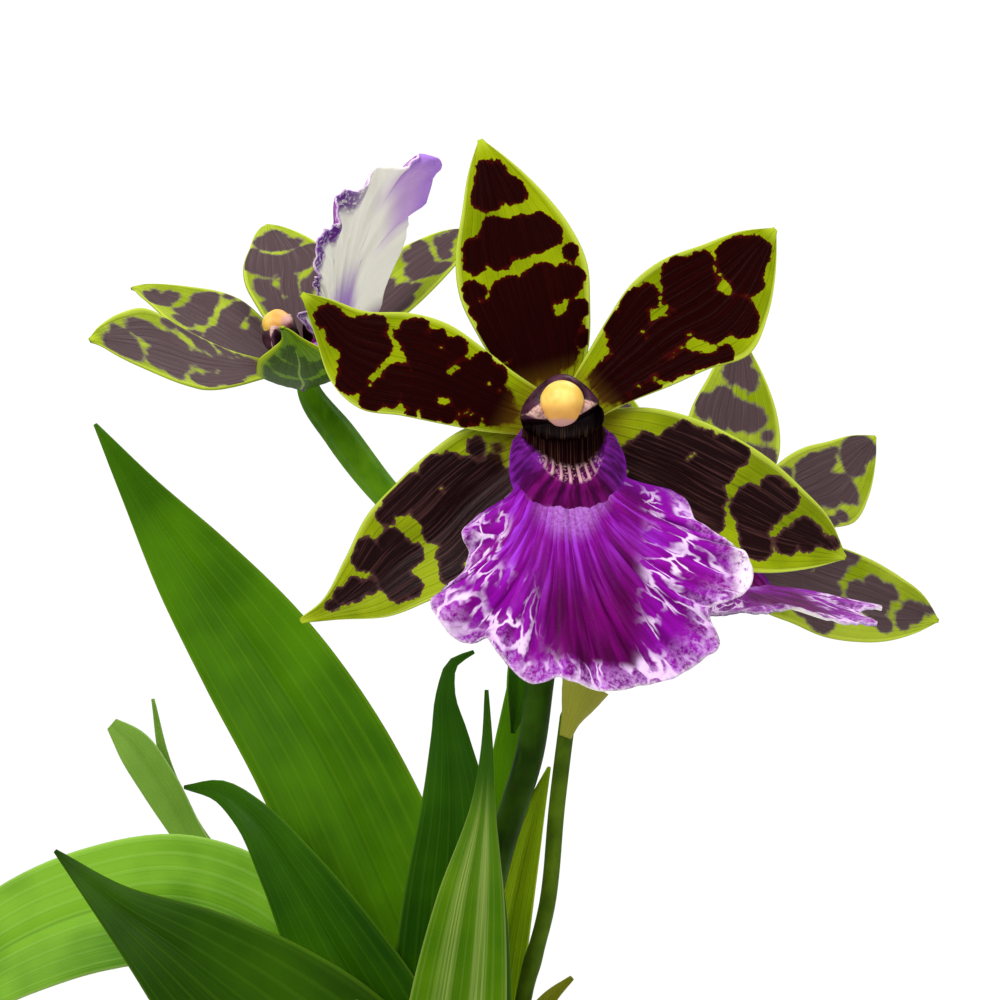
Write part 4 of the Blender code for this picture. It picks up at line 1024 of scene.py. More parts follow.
def petal_finish(name, lime, bright, dark, red, soft, flush, sheen, gloss=0.02):
    """Waxy petal skin.

    Soft is the width of a blotch's edge, flush how far the foot is browned, sheen how far the
    second blotch colour shows in streaks along the fibres, which on the lateral sepals is a painted
    sheen, and gloss the strength of the shine.
    """
    material, tree, shader = new_finish(name, Roughness=0.45, Specular_IOR_Level=gloss)
    across, along, depth = place_of(tree)
    front = add_node(tree, "ShaderNodeAttribute", attribute_name="front").outputs["Fac"]
    grain = use_group(tree, fibres, {"Across": across, "Along": along, "Veins": 11.0})
    clouds = object_spots(tree, 110.0, 3.0)
    crumbs = object_spots(tree, 1500.0, 2.0)
    cells = object_spots(tree, 4200.0, 1.0)
    off_middle = work_out(tree, "ABSOLUTE", across)
    green = blend(tree, ease(tree, clouds, 0.3, 0.7), lime, bright)
    green = blend(tree, times(tree, ease(tree, grain["Streak"], 0.45, 0.7), 0.35), green, bright)
    green = blend(tree, ease(tree, off_middle, 0.88, 1.0, 0.0, 0.85), green, shade(180, 194, 66))
    green = blend(tree, ease(tree, along, 0.94, 1.0, 0.0, 0.8), green, shade(168, 184, 40))
    maroon = blend(tree, ease(tree, depth, 0.5, 0.0), dark, red)
    # Streaks of the second blotch colour along the fibres; on the lateral sepals this grey-brown is a painted
    # sheen, the sky's reflection painted into the colour.
    maroon = blend(tree, times(tree, ease(tree, grain["Streak"], 0.48, 0.7), sheen), maroon, red)
    edge = times(tree, work_out(tree, "SUBTRACT", crumbs, 0.5), 0.7)
    ragged = work_out(tree, "ADD", depth, edge)
    reach = ease(tree, along, 0.2, 0.04, soft, soft + 0.5)
    mask = ease(tree, work_out(tree, "DIVIDE", ragged, reach), -1.0, 1.0)
    mask = times(tree, mask, ease(tree, off_middle, 1.0, 0.97))
    skin = blend(tree, mask, green, maroon)
    foot = times(tree, ease(tree, along, 0.16, 0.0), flush)
    skin = blend(tree, foot, skin, shade(128, 92, 22))
    behind = blend(tree, times(tree, mask, 0.9), shade(92, 128, 6), shade(42, 66, 6))
    behind = blend(tree, ease(tree, off_middle, 0.8, 0.95), behind, shade(146, 168, 8))
    behind = blend(tree, times(tree, ease(tree, off_middle, 0.05, 0.02), 0.5), behind, shade(150, 180, 80))
    skin = blend(tree, front, behind, skin)
    tree.links.new(skin, shader.inputs["Base Color"])
    tree.links.new(ease(tree, cells, 0.3, 0.7, 0.34, 0.46), shader.inputs["Roughness"])
    height = work_out(tree, "ADD", times(tree, grain["Streak"], 0.9), grain["Vein"])
    raise_skin(tree, shader, work_out(tree, "ADD", height, times(tree, cells, 0.4)), 0.07)
    return material


LIME, BRIGHT_LIME = shade(104, 120, 0), shade(140, 154, 6)
petal_skin = petal_finish(
    "petal_front", LIME, BRIGHT_LIME, shade(26, 1, 1), shade(58, 5, 2), soft=0.07, flush=0.5, sheen=0.22)
# The lateral sepals' second blotch colour is grey-brown: a painted sheen, not a pigment.
sepal_skin = petal_finish(
    "sepal_front", LIME, BRIGHT_LIME, shade(24, 5, 6), shade(74, 44, 42),
    soft=0.08, flush=0.5, sheen=0.7, gloss=0.06)
soft_petal_skin = petal_finish(
    "petal_behind", shade(118, 136, 6), shade(154, 170, 46), shade(74, 58, 60), shade(98, 82, 82),
    soft=0.4, flush=0.3, sheen=0.5)

# The size of the flowers behind, as a share of the front one.
SMALL = 0.87

# Each petal: flower, kind, angle, reach, start, back, rise, arch, cup, width share, fold and any twist.
PETALS = {
    "front_dorsal_sepal": ("front", "dorsal", *FRONT_LIE["dorsal"], 1.8, 1.0, 1.0, 0.08, 1.0, 0.06),
    "front_petal_left": ("front", "petal_left", *FRONT_LIE["petal_left"], 0.0, 2.0, 1.5, 0.08, 1.0, 0.0),
    "front_petal_right": ("front", "petal_right", *FRONT_LIE["petal_right"], 0.0, 2.0, 1.5, 0.08, 1.0, 0.0),
    "front_lateral_sepal_left": (
        "front", "sepal_left", *FRONT_LIE["sepal_left"], 1.8, -1.0, 0.6, 0.05, 1.0, 0.3),
    "front_lateral_sepal_right": (
        "front", "sepal_right", *FRONT_LIE["sepal_right"], 1.8, -1.0, 0.6, 0.05, 1.0, 0.3),
    "left_dorsal_sepal": ("left", "dorsal", 0.0, 33.0, 3.6, 1.8, 17.5, 1.0, 0.12, SMALL, 0.1),
    "left_petal_near": ("left", "petal_right", -55.5, 33.6, 4.8, 0.0, 21.0, -1.5, 0.12, 1.0, 0.0, 22.0),
    "left_petal_far": ("left", "petal_right", 47.0, 34.0, 4.6, 0.0, 21.0, 1.0, 0.12, SMALL, 0.0),
    "left_lateral_sepal_near": ("left", "sepal_left", -119.0, 32.0, 3.2, 2.6, 37.5, -3.6, 0.12, 0.84, 0.2),
    "left_lateral_sepal_far": ("left", "sepal_right", 110.0, 35.0, 4.2, 2.2, 27.0, 0.6, 0.12, SMALL, 0.2),
    "right_dorsal_sepal": ("right", "dorsal", 9.0, 36.6, 3.8, 1.8, 2.0, 1.0, 0.1, 0.92, 0.1),
    "right_petal_left": ("right", "petal_left", -29.0, 32.0, 4.2, 0.0, 4.0, 1.0, 0.1, SMALL, 0.0),
    "right_petal_right": ("right", "petal_right", 55.4, 33.0, 4.0, 0.0, 3.0, 1.0, 0.1, SMALL, 0.0),
    "right_lateral_sepal_left": ("right", "sepal_left", -104.0, 30.0, 4.0, 1.8, -5.0, 0.6, 0.1, SMALL, 0.2),
    "right_lateral_sepal_right": ("right", "sepal_right", 106.3, 39.4, 4.0, 1.8, 0.0, 0.6, 0.1, SMALL, 0.2),
}
for number, (name, (flower, *lie)) in enumerate(PETALS.items()):
    ahead = flower == "front"
    rows, columns, seed = (150, 77, 0.0) if ahead else (90, 45, 1.7 * number)
    blade = petal_mesh(name, FLOWERS[flower], *lie, rows=rows, columns=columns, seed=seed)
    front_skin = sepal_skin if "lateral" in name else petal_skin
    petal = new_piece(f"{name}_blade", blade, front_skin if ahead else soft_petal_skin)
    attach(petal, "root")
    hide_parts(name)

# The lip is the large lower petal: a ruffled velvety fan that hangs from a narrow neck. It is
# violet, dark magenta in the middle, with a white network of veins toward its pale margin.
LIP_THICK = 0.8
LIP_DROP = 4.6
LIP_FORWARD = 2.6
LIP_NECK_LEFT = -5.0
LIP_NECK_WIDE = 11.5
LIP_WAVE = 0.9

# Each lip: how far it tips up, size, width share, curl of its far right corner, roll and frill.
LIPS = {
    "front": (20.0, 1.0, 1.0, 0.0, 0.0, 1.0),
    "left": (78.0, 1.12, 0.6, 5.0, 0.0, 1.0),
    "right": (80.0, 0.9, 0.95, 0.0, -0.06, 0.5),
}

# The margin from the left of the neck round the hanging edge to the right: across, then down.
LIP_MARGIN = (
    (-6.2, 1.2), (-5.9, 4.0), (-6.6, 5.9), (-9.3, 6.9), (-11.2, 8.0), (-12.8, 9.8), (-12.9, 11.3),
    (-12.0, 12.6), (-12.3, 14.1), (-13.8, 16.4), (-16.2, 18.3), (-17.0, 19.7), (-16.2, 21.6),
    (-14.4, 23.8), (-12.0, 24.8), (-9.6, 24.6), (-9.0, 25.7), (-7.2, 28.0), (-5.1, 30.0), (-3.0, 30.8),
    (-0.9, 30.3), (1.4, 31.0), (4.0, 31.5), (7.2, 31.4), (10.4, 30.6), (13.8, 29.8), (16.4, 28.2),
    (18.5, 26.6), (20.2, 25.5), (20.3, 23.7), (19.3, 21.6), (18.9, 20.6), (21.0, 19.8), (23.4, 18.5),
    (24.9, 16.6), (25.2, 14.8), (24.3, 12.6), (22.2, 11.2), (19.8, 9.7), (17.5, 8.0), (16.8, 5.9),
    (15.5, 4.7), (13.8, 4.1), (11.7, 4.7), (9.7, 3.4), (8.4, 2.2), (7.8, 1.0),
)


def on_lip(pitch, size, across, along, high):
    """A point given across the lip, down along it and above it, in its flower's own measures."""
    tilt = math.radians(pitch)
    return np.stack([
        across,
        -LIP_DROP * size - along * math.cos(tilt) + high * math.sin(tilt),
        LIP_FORWARD * size + along * math.sin(tilt) + high * math.cos(tilt),
    ], axis=-1)


def lip_mesh(name, flower, pitch, size, wide, curl, roll, frill, rows, columns):
    """The fan, with radiating ribs and a ruffle that grows outward.

    Curl is how far its far right corner is drawn out and rolled back, roll tips it to one side,
    and frill is the depth of its ruffle.
    """
    margin = np.array(LIP_MARGIN) * (0.975 * size * wide, 0.97 * size)
    stops = np.concatenate([[0.0], np.cumsum(np.hypot(*np.diff(margin, axis=0).T))])
    reading = np.linspace(0, 1, columns)
    edge_x = smooth_between(reading, stops / stops[-1], margin[:, 0])
    edge_down = smooth_between(reading, stops / stops[-1], margin[:, 1])
    edge_down = edge_down * (1 - 0.02 * curl * np.exp(-(((reading - 0.42) / 0.1) ** 2)))
    edge_down = edge_down + curl * np.exp(-(((reading - 0.62) / 0.05) ** 2))
    out, u = np.meshgrid(np.linspace(0, 1, rows) ** 0.9, reading, indexing="ij")
    x, down = np.broadcast_to(edge_x, out.shape), np.broadcast_to(edge_down, out.shape)
    neck_x = (LIP_NECK_LEFT + LIP_NECK_WIDE * u) * size * wide
    bend_x = neck_x + 0.05 * (x - neck_x)
    bend_down = down * (0.85 - 0.25 * down / (31 * size))
    across = neck_x * (1 - out) ** 2 + bend_x * 2 * out * (1 - out) + x * out**2
    along = bend_down * 2 * out * (1 - out) + down * out**2
    i = 23 * u
    calm = np.clip(u / 0.14, 0, 1) * np.clip((1 - u) / 0.14, 0, 1)
    wave = LIP_WAVE * size * out**2 * np.sin(0.8 * i) * calm
    ruffle = np.zeros(out.shape)
    for at in np.ndindex(out.shape):
        ruffle[at] = noise.noise(Vector((i[at] * 0.95, out[at] * 1.6, size * 7)))
        ruffle[at] += 0.45 * noise.noise(Vector((i[at] * 2.6, out[at] * 3.0, size * 3)))
    ruffle = ruffle * frill * calm * (1 - 0.2 * curl * np.clip((u - 0.68) / 0.1, 0, 1))
    rib = 0.3 * np.cos(i * 2 * math.pi * 1.1 + ruffle * 3) * out * np.clip(0.8 - out, 0, 1)
    high = 3.0 * size * out * (1 - out) - 0.004 * across**2 + wave
    high = high + 2.4 * size * out**2.2 * ruffle + rib * size
    high = high - 0.9 * curl * out**5 * np.exp(-(((u - 0.62) / 0.09) ** 2)) + roll * across
    points = stand(on_lip(pitch, size, across, along, high), flower)
    thickness = LIP_THICK * (1 - 0.55 * out**3)
    place = np.stack([u, out, across / size], axis=2)
    _, top, look = flower_axes(flower)
    outward = look * math.cos(math.radians(pitch)) + top * math.sin(math.radians(pitch))
    return closed_sheet(name, points, thickness, outward, place)


def lip_finish(name, lighten):
    """Velvety violet with radiating streaks, a dark middle and white veins toward the margin."""
    material, tree, shader = new_finish(
        name, Roughness=0.5, Specular_IOR_Level=0.04, Sheen_Weight=0.01, Sheen_Roughness=0.3)
    fan, out, across = place_of(tree)
    front = add_node(tree, "ShaderNodeAttribute", attribute_name="front").outputs["Fac"]

    def rays(fan_scale, out_scale, detail, seed, bend=0.0):
        """Noise drawn out along the ribs of the fan."""
        way = add_node(tree, "ShaderNodeCombineXYZ", {
            0: times(tree, fan, fan_scale), 1: times(tree, out, out_scale), 2: seed})
        inputs = {"Vector": way.outputs[0], "Scale": 1.0, "Detail": detail, "Distortion": bend}
        return add_node(tree, "ShaderNodeTexNoise", inputs).outputs["Fac"]

    streaks = rays(60.0, 2.6, 4.0, 1.0)
    broad = rays(22.0, 2.0, 2.0, 4.0)
    bend_x = times(tree, rays(30.0, 5.0, 3.0, 7.0), 2.6)
    bend_y = times(tree, rays(24.0, 6.0, 3.0, 11.0), 1.5)
    net = add_node(tree, "ShaderNodeCombineXYZ", {
        0: work_out(tree, "ADD", times(tree, fan, 44.0), bend_x),
        1: work_out(tree, "ADD", times(tree, out, 6.0), bend_y)}).outputs[0]
    web = add_node(
        tree, "ShaderNodeTexVoronoi", {"Vector": net, "Scale": 1.0}, feature="DISTANCE_TO_EDGE"
    ).outputs[0]
    crumbs = object_spots(tree, 2400.0, 2.0)
    flecks = object_spots(tree, 1300.0, 4.0, 0.7)
    middle = times(tree, ease(tree, across, -5.5, 0.5), ease(tree, across, 12.5, 8.0))
    wobble = times(tree, broad, 0.3)
    heart = times(tree, middle, ease(tree, out, 0.25, 0.66))
    heart = times(tree, heart, ease(tree, work_out(tree, "ADD", out, wobble), 1.06, 1.0))
    violet = blend(tree, ease(tree, streaks, 0.32, 0.68), shade(94, 0, 100), shade(140, 10, 160))
    violet = blend(tree, times(tree, ease(tree, broad, 0.4, 0.7), 0.6), violet, shade(124, 0, 122))
    # Lilac-blue on the ribs of the upper fan is a painted highlight.
    ridge_highlight = times(tree, ease(tree, out, 0.2, 0.4), ease(tree, out, 0.72, 0.5))
    ridge_highlight = times(tree, ridge_highlight, ease(tree, streaks, 0.5, 0.66))
    violet = blend(tree, times(tree, ridge_highlight, 0.55), violet, shade(158, 66, 226))
    velvet = blend(tree, ease(tree, streaks, 0.38, 0.68), shade(64, 0, 50), shade(104, 0, 92))
    violet = blend(tree, times(tree, heart, 0.95), violet, velvet)
    lines = ease(tree, web, 0.12, 0.03)
    lines = times(tree, lines, ease(tree, rays(18.0, 5.0, 3.0, 9.0), 0.43, 0.58))
    left_part = times(tree, ease(tree, out, 0.52, 0.74), ease(tree, across, -1.5, -5.0))
    right_part = times(tree, ease(tree, out, 0.5, 0.72), ease(tree, across, 8.0, 11.5))
    outer = work_out(tree, "MAXIMUM", left_part, right_part)
    outer = work_out(tree, "MAXIMUM", outer, ease(tree, out, 0.8, 0.9))
    veil = times(tree, outer, work_out(tree, "SUBTRACT", 1.0, heart))
    skin = blend(tree, times(tree, veil, times(tree, lines, 0.9)), violet,
                 shade(232, 206, 238))
    hem = times(tree, ease(tree, out, 0.84, 0.97), ease(tree, flecks, 0.38, 0.66))
    hem = times(tree, hem, work_out(tree, "SUBTRACT", 1.0, heart))
    skin = blend(tree, times(tree, hem, 0.58), skin, shade(210, 160, 226))
    tips = times(tree, ease(tree, across, 21.0, 23.5), ease(tree, flecks, 0.3, 0.5))
    skin = blend(tree, times(tree, tips, 0.85), skin, shade(242, 228, 240))
    rim = ease(tree, work_out(tree, "ADD", out, times(tree, crumbs, 0.04)), 1.0, 1.03)
    neck = work_out(tree, "MAXIMUM", ease(tree, fan, 0.12, 0.07), ease(tree, fan, 0.87, 0.93))
    rim = times(tree, rim, work_out(tree, "SUBTRACT", 1.0, neck))
    skin = blend(tree, times(tree, rim, 0.7), skin, shade(240, 226, 236))
    fuzz = times(tree, ease(tree, out, 0.14, 0.2), ease(tree, out, 0.36, 0.24))
    fuzz = times(tree, fuzz, times(tree, middle, ease(tree, crumbs, 0.3, 0.7, 0.4, 1.0)))
    fuzz = times(tree, fuzz, ease(tree, streaks, 0.3, 0.6, 0.5, 1.0))
    skin = blend(tree, times(tree, fuzz, 0.5), skin, shade(196, 150, 226))
    back_hem = times(tree, ease(tree, out, 0.8, 0.9), ease(tree, across, 4.0, -2.0))
    back_hem = times(tree, back_hem, ease(tree, flecks, 0.62, 0.5, 0.35, 1.0))
    rolled = times(tree, ease(tree, fan, 0.52, 0.58), ease(tree, fan, 0.76, 0.68))
    rolled = times(tree, rolled, ease(tree, out, 0.66, 0.86, 0.0, 0.85))
    rolled_tone = blend(tree, ease(tree, out, 0.86, 1.0), shade(188, 138, 216), shade(150, 72, 212))
    behind = blend(tree, rolled, shade(246, 243, 232), rolled_tone)
    behind = blend(tree, back_hem, behind, shade(92, 20, 132))
    foot = times(tree, ease(tree, out, 0.52, 0.24), 0.85)
    behind = blend(tree, foot, behind, shade(138, 74, 190))
    behind = blend(tree, times(tree, ease(tree, broad, 0.55, 0.7), 0.25), behind, shade(190, 168, 206))
    skin = blend(tree, front, behind, skin)
    skin = blend(tree, times(tree, neck, 0.9), skin, shade(112, 14, 138))
    skin = blend(tree, lighten, skin, shade(220, 190, 226))
    tree.links.new(skin, shader.inputs["Base Color"])
    tree.links.new(ease(tree, crumbs, 0.3, 0.7, 0.42, 0.58), shader.inputs["Roughness"])
    height = work_out(tree, "ADD", streaks, times(tree, crumbs, 0.35))
    raise_skin(tree, shader, height, 0.14)
    return material


lip_skin = lip_finish("lip_front", 0.0)
soft_lip_skin = lip_finish("lip_behind", 0.03)
for flower, lie in LIPS.items():
    name = f"{flower}_lip"
    ahead = flower == "front"
    rows, columns = (84, 281) if ahead else (48, 171)
    fan = lip_mesh(name, FLOWERS[flower], *lie, rows, columns)
    lip = new_piece(f"{name}_fan", fan, lip_skin if ahead else soft_lip_skin)
    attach(lip, "root")
    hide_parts(name)

# The callus is the fleshy collar across the lip's neck, a scoop that opens upward under the
# column. Pale ridges run down to its crest, its front is fluted, and its throat is dark and bristled.
# Each collar: how far it tips up, as its lip does, and its size.
CALLUS = {"front": (20.0, 1.0), "left": (78.0, SMALL), "right": (76.0, SMALL)}

# Ridges and flutes to one station of the collar.
RIDGES = 2.0
FLUTES = 1.75

# The collar from left to right as the front flower shows it: the throat's edge, the crest and the
# foot, each across, up and forward.
COLLAR = (
    ((-4.6, -0.2, 3.4), (-5.2, -1.6, 6.0), (-6.2, -2.2, 3.2)),
    ((-3.6, -0.4, 2.9), (-4.3, -3.0, 6.6), (-6.6, -4.6, 3.4)),
    ((-2.2, -0.6, 2.4), (-2.9, -4.6, 7.0), (-6.3, -7.9, 3.8)),
    ((-0.8, -0.7, 2.1), (-1.2, -6.4, 7.0), (-4.3, -10.9, 4.5)),
    ((0.7, -0.7, 2.0), (1.2, -7.5, 6.9), (0.9, -11.6, 4.9)),
    ((2.2, -0.7, 2.1), (3.6, -7.0, 7.0), (5.8, -11.1, 4.5)),
    ((3.6, -0.5, 2.4), (4.9, -5.2, 7.0), (8.1, -8.2, 3.8)),
    ((4.6, -0.3, 2.9), (5.6, -3.2, 6.6), (8.4, -4.8, 3.4)),
    ((5.2, 0.0, 3.4), (6.0, -1.2, 6.0), (7.2, -1.8, 3.2)),
)


def callus_mesh(name, flower, pitch, size, columns, rows):
    """The collar as a closed skin: throat, crest, fluted front, foot and underside."""
    collar = np.array(COLLAR, float)
    around = np.linspace(0, len(collar) - 1, columns)
    stations = np.arange(len(collar))
    throat, crest, foot = (
        np.stack([smooth_between(around, stations, collar[:, part, axis]) for axis in range(3)], axis=-1)
        for part in range(3)
    )
    scoop = (throat + crest) / 2 + np.array((0.0, -0.6, -0.6))
    brow = (crest + foot) / 2 + np.array((0.0, 0.2, 0.5))
    under = (throat + foot) / 2 + np.array((0.0, 0.0, -1.2))
    stops = np.stack([throat, scoop, crest, brow, foot, under])
    reading = np.linspace(0, len(stops) - 1, rows)
    skin = np.empty((rows, columns, 3))
    for axis in range(3):
        for column in range(columns):
            skin[:, column, axis] = smooth_between(reading, np.arange(len(stops)), stops[:, column, axis])
    low = np.exp(-(((around - 4.0) / 1.9) ** 4))
    ridge = np.exp(-(((reading - 1.75) / 0.42) ** 2))
    flute = np.exp(-(((reading - 3.0) / 0.7) ** 2))
    skin[..., 2] += 0.3 * np.outer(ridge, low * np.cos(2 * math.pi * RIDGES * around))
    skin[..., 2] += 0.2 * np.outer(flute, (0.2 + 0.8 * low) * np.cos(2 * math.pi * FLUTES * around))
    tilt = math.radians(CALLUS["front"][0])
    down, forward = -skin[..., 1] - LIP_DROP, skin[..., 2] - LIP_FORWARD
    along = down * math.cos(tilt) + forward * math.sin(tilt)
    high = forward * math.cos(tilt) - down * math.sin(tilt)
    points = stand(on_lip(pitch, size, skin[..., 0] * size, along * size, high * size), flower)
    shape = bmesh.new()
    layer = shape.verts.layers.float_vector.new("place")
    grid = []
    for row in range(rows):
        line = []
        for column in range(columns):
            corner = shape.verts.new(Vector(points[row, column]) * MM)
            corner[layer] = (around[column], reading[row], skin[row, column, 0])
            line.append(corner)
        grid.append(line)
    for row in range(rows):
        this, following = grid[row], grid[(row + 1) % rows]
        for column in range(columns - 1):
            shape.faces.new((this[column], this[column + 1], following[column + 1], following[column]))
    shape.faces.new([line[0] for line in grid])
    shape.faces.new([line[-1] for line in grid])
    return mesh_from(shape, name)


# Fine upright bristles: golden lines close together on a dark ground.
bristles, given, out = new_group("throat_bristles", {"Across": VALUE, "Up": VALUE}, {"Bristle": VALUE})
wander = add_node(bristles, "ShaderNodeCombineXYZ", {
    0: times(bristles, given["Across"], 6.5),
    1: times(bristles, given["Up"], 0.22),
})
hairs = add_node(bristles, "ShaderNodeTexNoise", {"Vector": wander.outputs[0], "Scale": 1.0, "Detail": 2.0})
bristles.links.new(ease(bristles, hairs.outputs["Fac"], 0.5, 0.68), out["Bristle"])

callus_finish, tree, shader = new_finish("callus", Roughness=0.5, Specular_IOR_Level=0.04)
around, section, sideways = place_of(tree)
crumbs = object_spots(tree, 2200.0, 2.0)
drawn_out = add_node(tree, "ShaderNodeCombineXYZ", {
    0: times(tree, around, 5.0),
    1: times(tree, section, 0.8),
}).outputs[0]
streaks = add_node(
    tree, "ShaderNodeTexNoise", {"Vector": drawn_out, "Scale": 1.0, "Detail": 4.0}
).outputs["Fac"]
hair = use_group(tree, bristles, {"Across": sideways, "Up": section})["Bristle"]
lower = times(tree, ease(tree, around, 1.9, 2.9), ease(tree, around, 6.1, 5.1))
side_wall = blend(tree, ease(tree, streaks, 0.35, 0.65), shade(66, 6, 74), shade(108, 26, 132))
front_wall = blend(tree, ease(tree, streaks, 0.35, 0.65), shade(74, 0, 56), shade(112, 10, 100))
wall = blend(tree, lower, side_wall, front_wall)
gully = ease(tree, work_out(tree, "COSINE", times(tree, around, 2 * math.pi * FLUTES)), 0.2, -0.9)
gully = times(tree, gully, ease(tree, lower, 0.0, 1.0, 0.12, 0.6))
wall = blend(tree, gully, wall, shade(50, 0, 46))
throat = blend(tree, times(tree, hair, 0.8), shade(26, 0, 8), shade(92, 66, 44))
skin = blend(tree, ease(tree, section, 1.2, 1.75), throat, wall)
crown = ease(tree, work_out(tree, "COSINE", times(tree, around, 2 * math.pi * RIDGES)), 0.1, 0.9)
crown = times(tree, crown, lower)
speckle = times(tree, ease(tree, crumbs, 0.5, 0.62), 0.7)
pale = work_out(tree, "MAXIMUM", crown, speckle)
pale = times(tree, pale, times(tree, ease(tree, section, 1.1, 1.4), ease(tree, section, 2.2, 1.95)))
pale = times(tree, pale, times(tree, ease(tree, around, 1.4, 2.4), ease(tree, around, 6.8, 5.8)))
skin = blend(tree, times(tree, pale, 0.85), skin, shade(208, 162, 168))
seam = blend(tree, lower, shade(122, 28, 160), shade(184, 118, 210))
seam_edge = work_out(tree, "ADD", section, times(tree, streaks, 0.5))
skin = blend(tree, times(tree, ease(tree, seam_edge, 3.65, 4.15), 0.9), skin, seam)
tree.links.new(skin, shader.inputs["Base Color"])
tree.links.new(ease(tree, crumbs, 0.3, 0.7, 0.38, 0.52), shader.inputs["Roughness"])
raise_skin(tree, shader, work_out(tree, "ADD", streaks, times(tree, crumbs, 0.3)), 0.15)
for flower, (pitch, size) in CALLUS.items():
    name = f"{flower}_callus"
    columns, rows = (221, 56) if flower == "front" else (151, 40)
    collar = callus_mesh(name, FLOWERS[flower], pitch, size, columns, rows)
    callus = new_piece(f"{name}_collar", collar, callus_finish)
    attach(callus, "root")
    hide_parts(name)

# The column is the short stout post in the flower's middle. It ends in a rounded dark maroon hood
# with pale pinkish wings beside the cap, and under them its face is hollow, dark and bristled; its
# near-black under the hood and deep in the hollow is painted shade.
# Each column: its size, and how many degrees it leans toward the top sepal.
COLUMNS = {"front": (1.0, 0.0), "left": (SMALL, 18.0), "right": (SMALL, 20.0)}

# Rings of the column: forward, half-width, half-depth and how far up the ring's middle is.
COLUMN_RINGS = (
    (0.6, 2.3, 1.9, 0.0), (2.2, 2.9, 2.2, 0.1), (4.0, 4.3, 2.9, 0.7), (5.8, 5.4, 3.6, 1.5),
    (7.2, 5.95, 4.1, 1.9), (8.4, 5.7, 4.0, 2.1), (9.3, 4.9, 3.5, 2.3), (9.8, 3.5, 2.6, 2.5),
    (10.0, 1.8, 1.4, 2.7), (10.0, 0.2, 0.2, 2.8),
)

# The height of the hollow's upper edge in the middle, and how deep it is as a share of the length.
HOLLOW_TOP = 0.4
HOLLOW_SHARE = 0.55


def lean_back(x, y, z, degrees):
    """Tip a point of the column toward the top sepal."""
    a = math.radians(degrees)
    return (x, y * math.cos(a) + z * math.sin(a), z * math.cos(a) - y * math.sin(a))


def soft_step(value):
    """A smooth step from 0 to 1."""
    value = min(1.0, max(0.0, value))
    return value * value * (3 - 2 * value)


def column_mesh(name, flower, size, lean, sides, hoop_count):
    """The post and its hood, lofted through the rings, its face sunk under the wings."""
    rings = np.array(COLUMN_RINGS)
    stops = np.arange(len(rings))
    shape = bmesh.new()
    layer = shape.verts.layers.float_vector.new("place")
    hoops = []
    for at in np.linspace(0, len(rings) - 1, hoop_count):
        z, wide, deep, shift = (float(smooth_between(at, stops, rings[:, k])) for k in range(4))
        hoop = []
        for k in range(sides):
            turn = 2 * math.pi * k / sides
            egg = 1.0 - min(1.0, z / 6) * (0.15 + 0.3 * math.sin(turn))
            x, y = 0.1 * min(1.0, z / 6) + wide * egg * math.cos(turn), shift + deep * math.sin(turn)
            mouth_top = HOLLOW_TOP + 0.1 * max(0.0, x) ** 2
            mouth = soft_step((mouth_top - y) / 0.5) * soft_step((5.3 - abs(x - 0.1)) / 0.5)
            sunk = max(mouth, soft_step((-1.0 - y) / 0.8))
            wing = math.exp(-(((abs(x) - 3.2) / 1.1) ** 2) - ((y - 1.6 - 0.14 * x) / 0.9) ** 2)
            forward = z * (1 - HOLLOW_SHARE * sunk) + 0.9 * wing * (at > 4.5)
            corner = np.array(lean_back(x, y, forward, lean)) * size
            vertex = shape.verts.new(Vector(stand(corner, flower)) * MM)
            vertex[layer] = (x, y, forward)
            hoop.append(vertex)
        hoops.append(hoop)
    for low, high in zip(hoops, hoops[1:]):
        for k in range(sides):
            j = (k + 1) % sides
            shape.faces.new((low[k], low[j], high[j], high[k]))
    shape.faces.new(hoops[0])
    shape.faces.new(hoops[-1])
    return mesh_from(shape, name)


column_finish, tree, shader = new_finish("column", Roughness=0.4, Specular_IOR_Level=0.1)
sideways, up, forward = place_of(tree)
clouds = object_spots(tree, 420.0, 3.0)
crumbs = object_spots(tree, 2400.0, 2.0)
hair = use_group(tree, bristles, {"Across": sideways, "Up": up})["Bristle"]
hood = blend(tree, ease(tree, clouds, 0.35, 0.65), shade(34, 10, 22), shade(72, 36, 54))
off_side = work_out(tree, "ABSOLUTE", sideways)
slant = work_out(tree, "SUBTRACT", up, work_out(tree, "ADD", times(tree, sideways, 0.14), 1.6))
wing_half = ease(tree, off_side, 5.2, 1.6, 0.0, 1.25)
wing_half = work_out(tree, "ADD", wing_half, times(tree, work_out(tree, "SUBTRACT", clouds, 0.5), 1.2))
wing = ease(tree, work_out(tree, "SUBTRACT", work_out(tree, "ABSOLUTE", slant), wing_half), 0.1, -0.15)
wing = times(tree, wing, ease(tree, forward, 6.0, 7.0))
wing_tone = blend(tree, ease(tree, crumbs, 0.4, 0.62), shade(164, 118, 116), shade(204, 168, 154))
skin = blend(tree, times(tree, wing, 0.92), hood, wing_tone)
mouth_top = times(tree, work_out(tree, "POWER", work_out(tree, "MAXIMUM", sideways, 0.0), 2.0), 0.1)
below = work_out(tree, "SUBTRACT", work_out(tree, "ADD", mouth_top, HOLLOW_TOP), up)
sunk = times(tree, ease(tree, below, -0.1, 0.2), ease(tree, off_side, 5.4, 5.1))
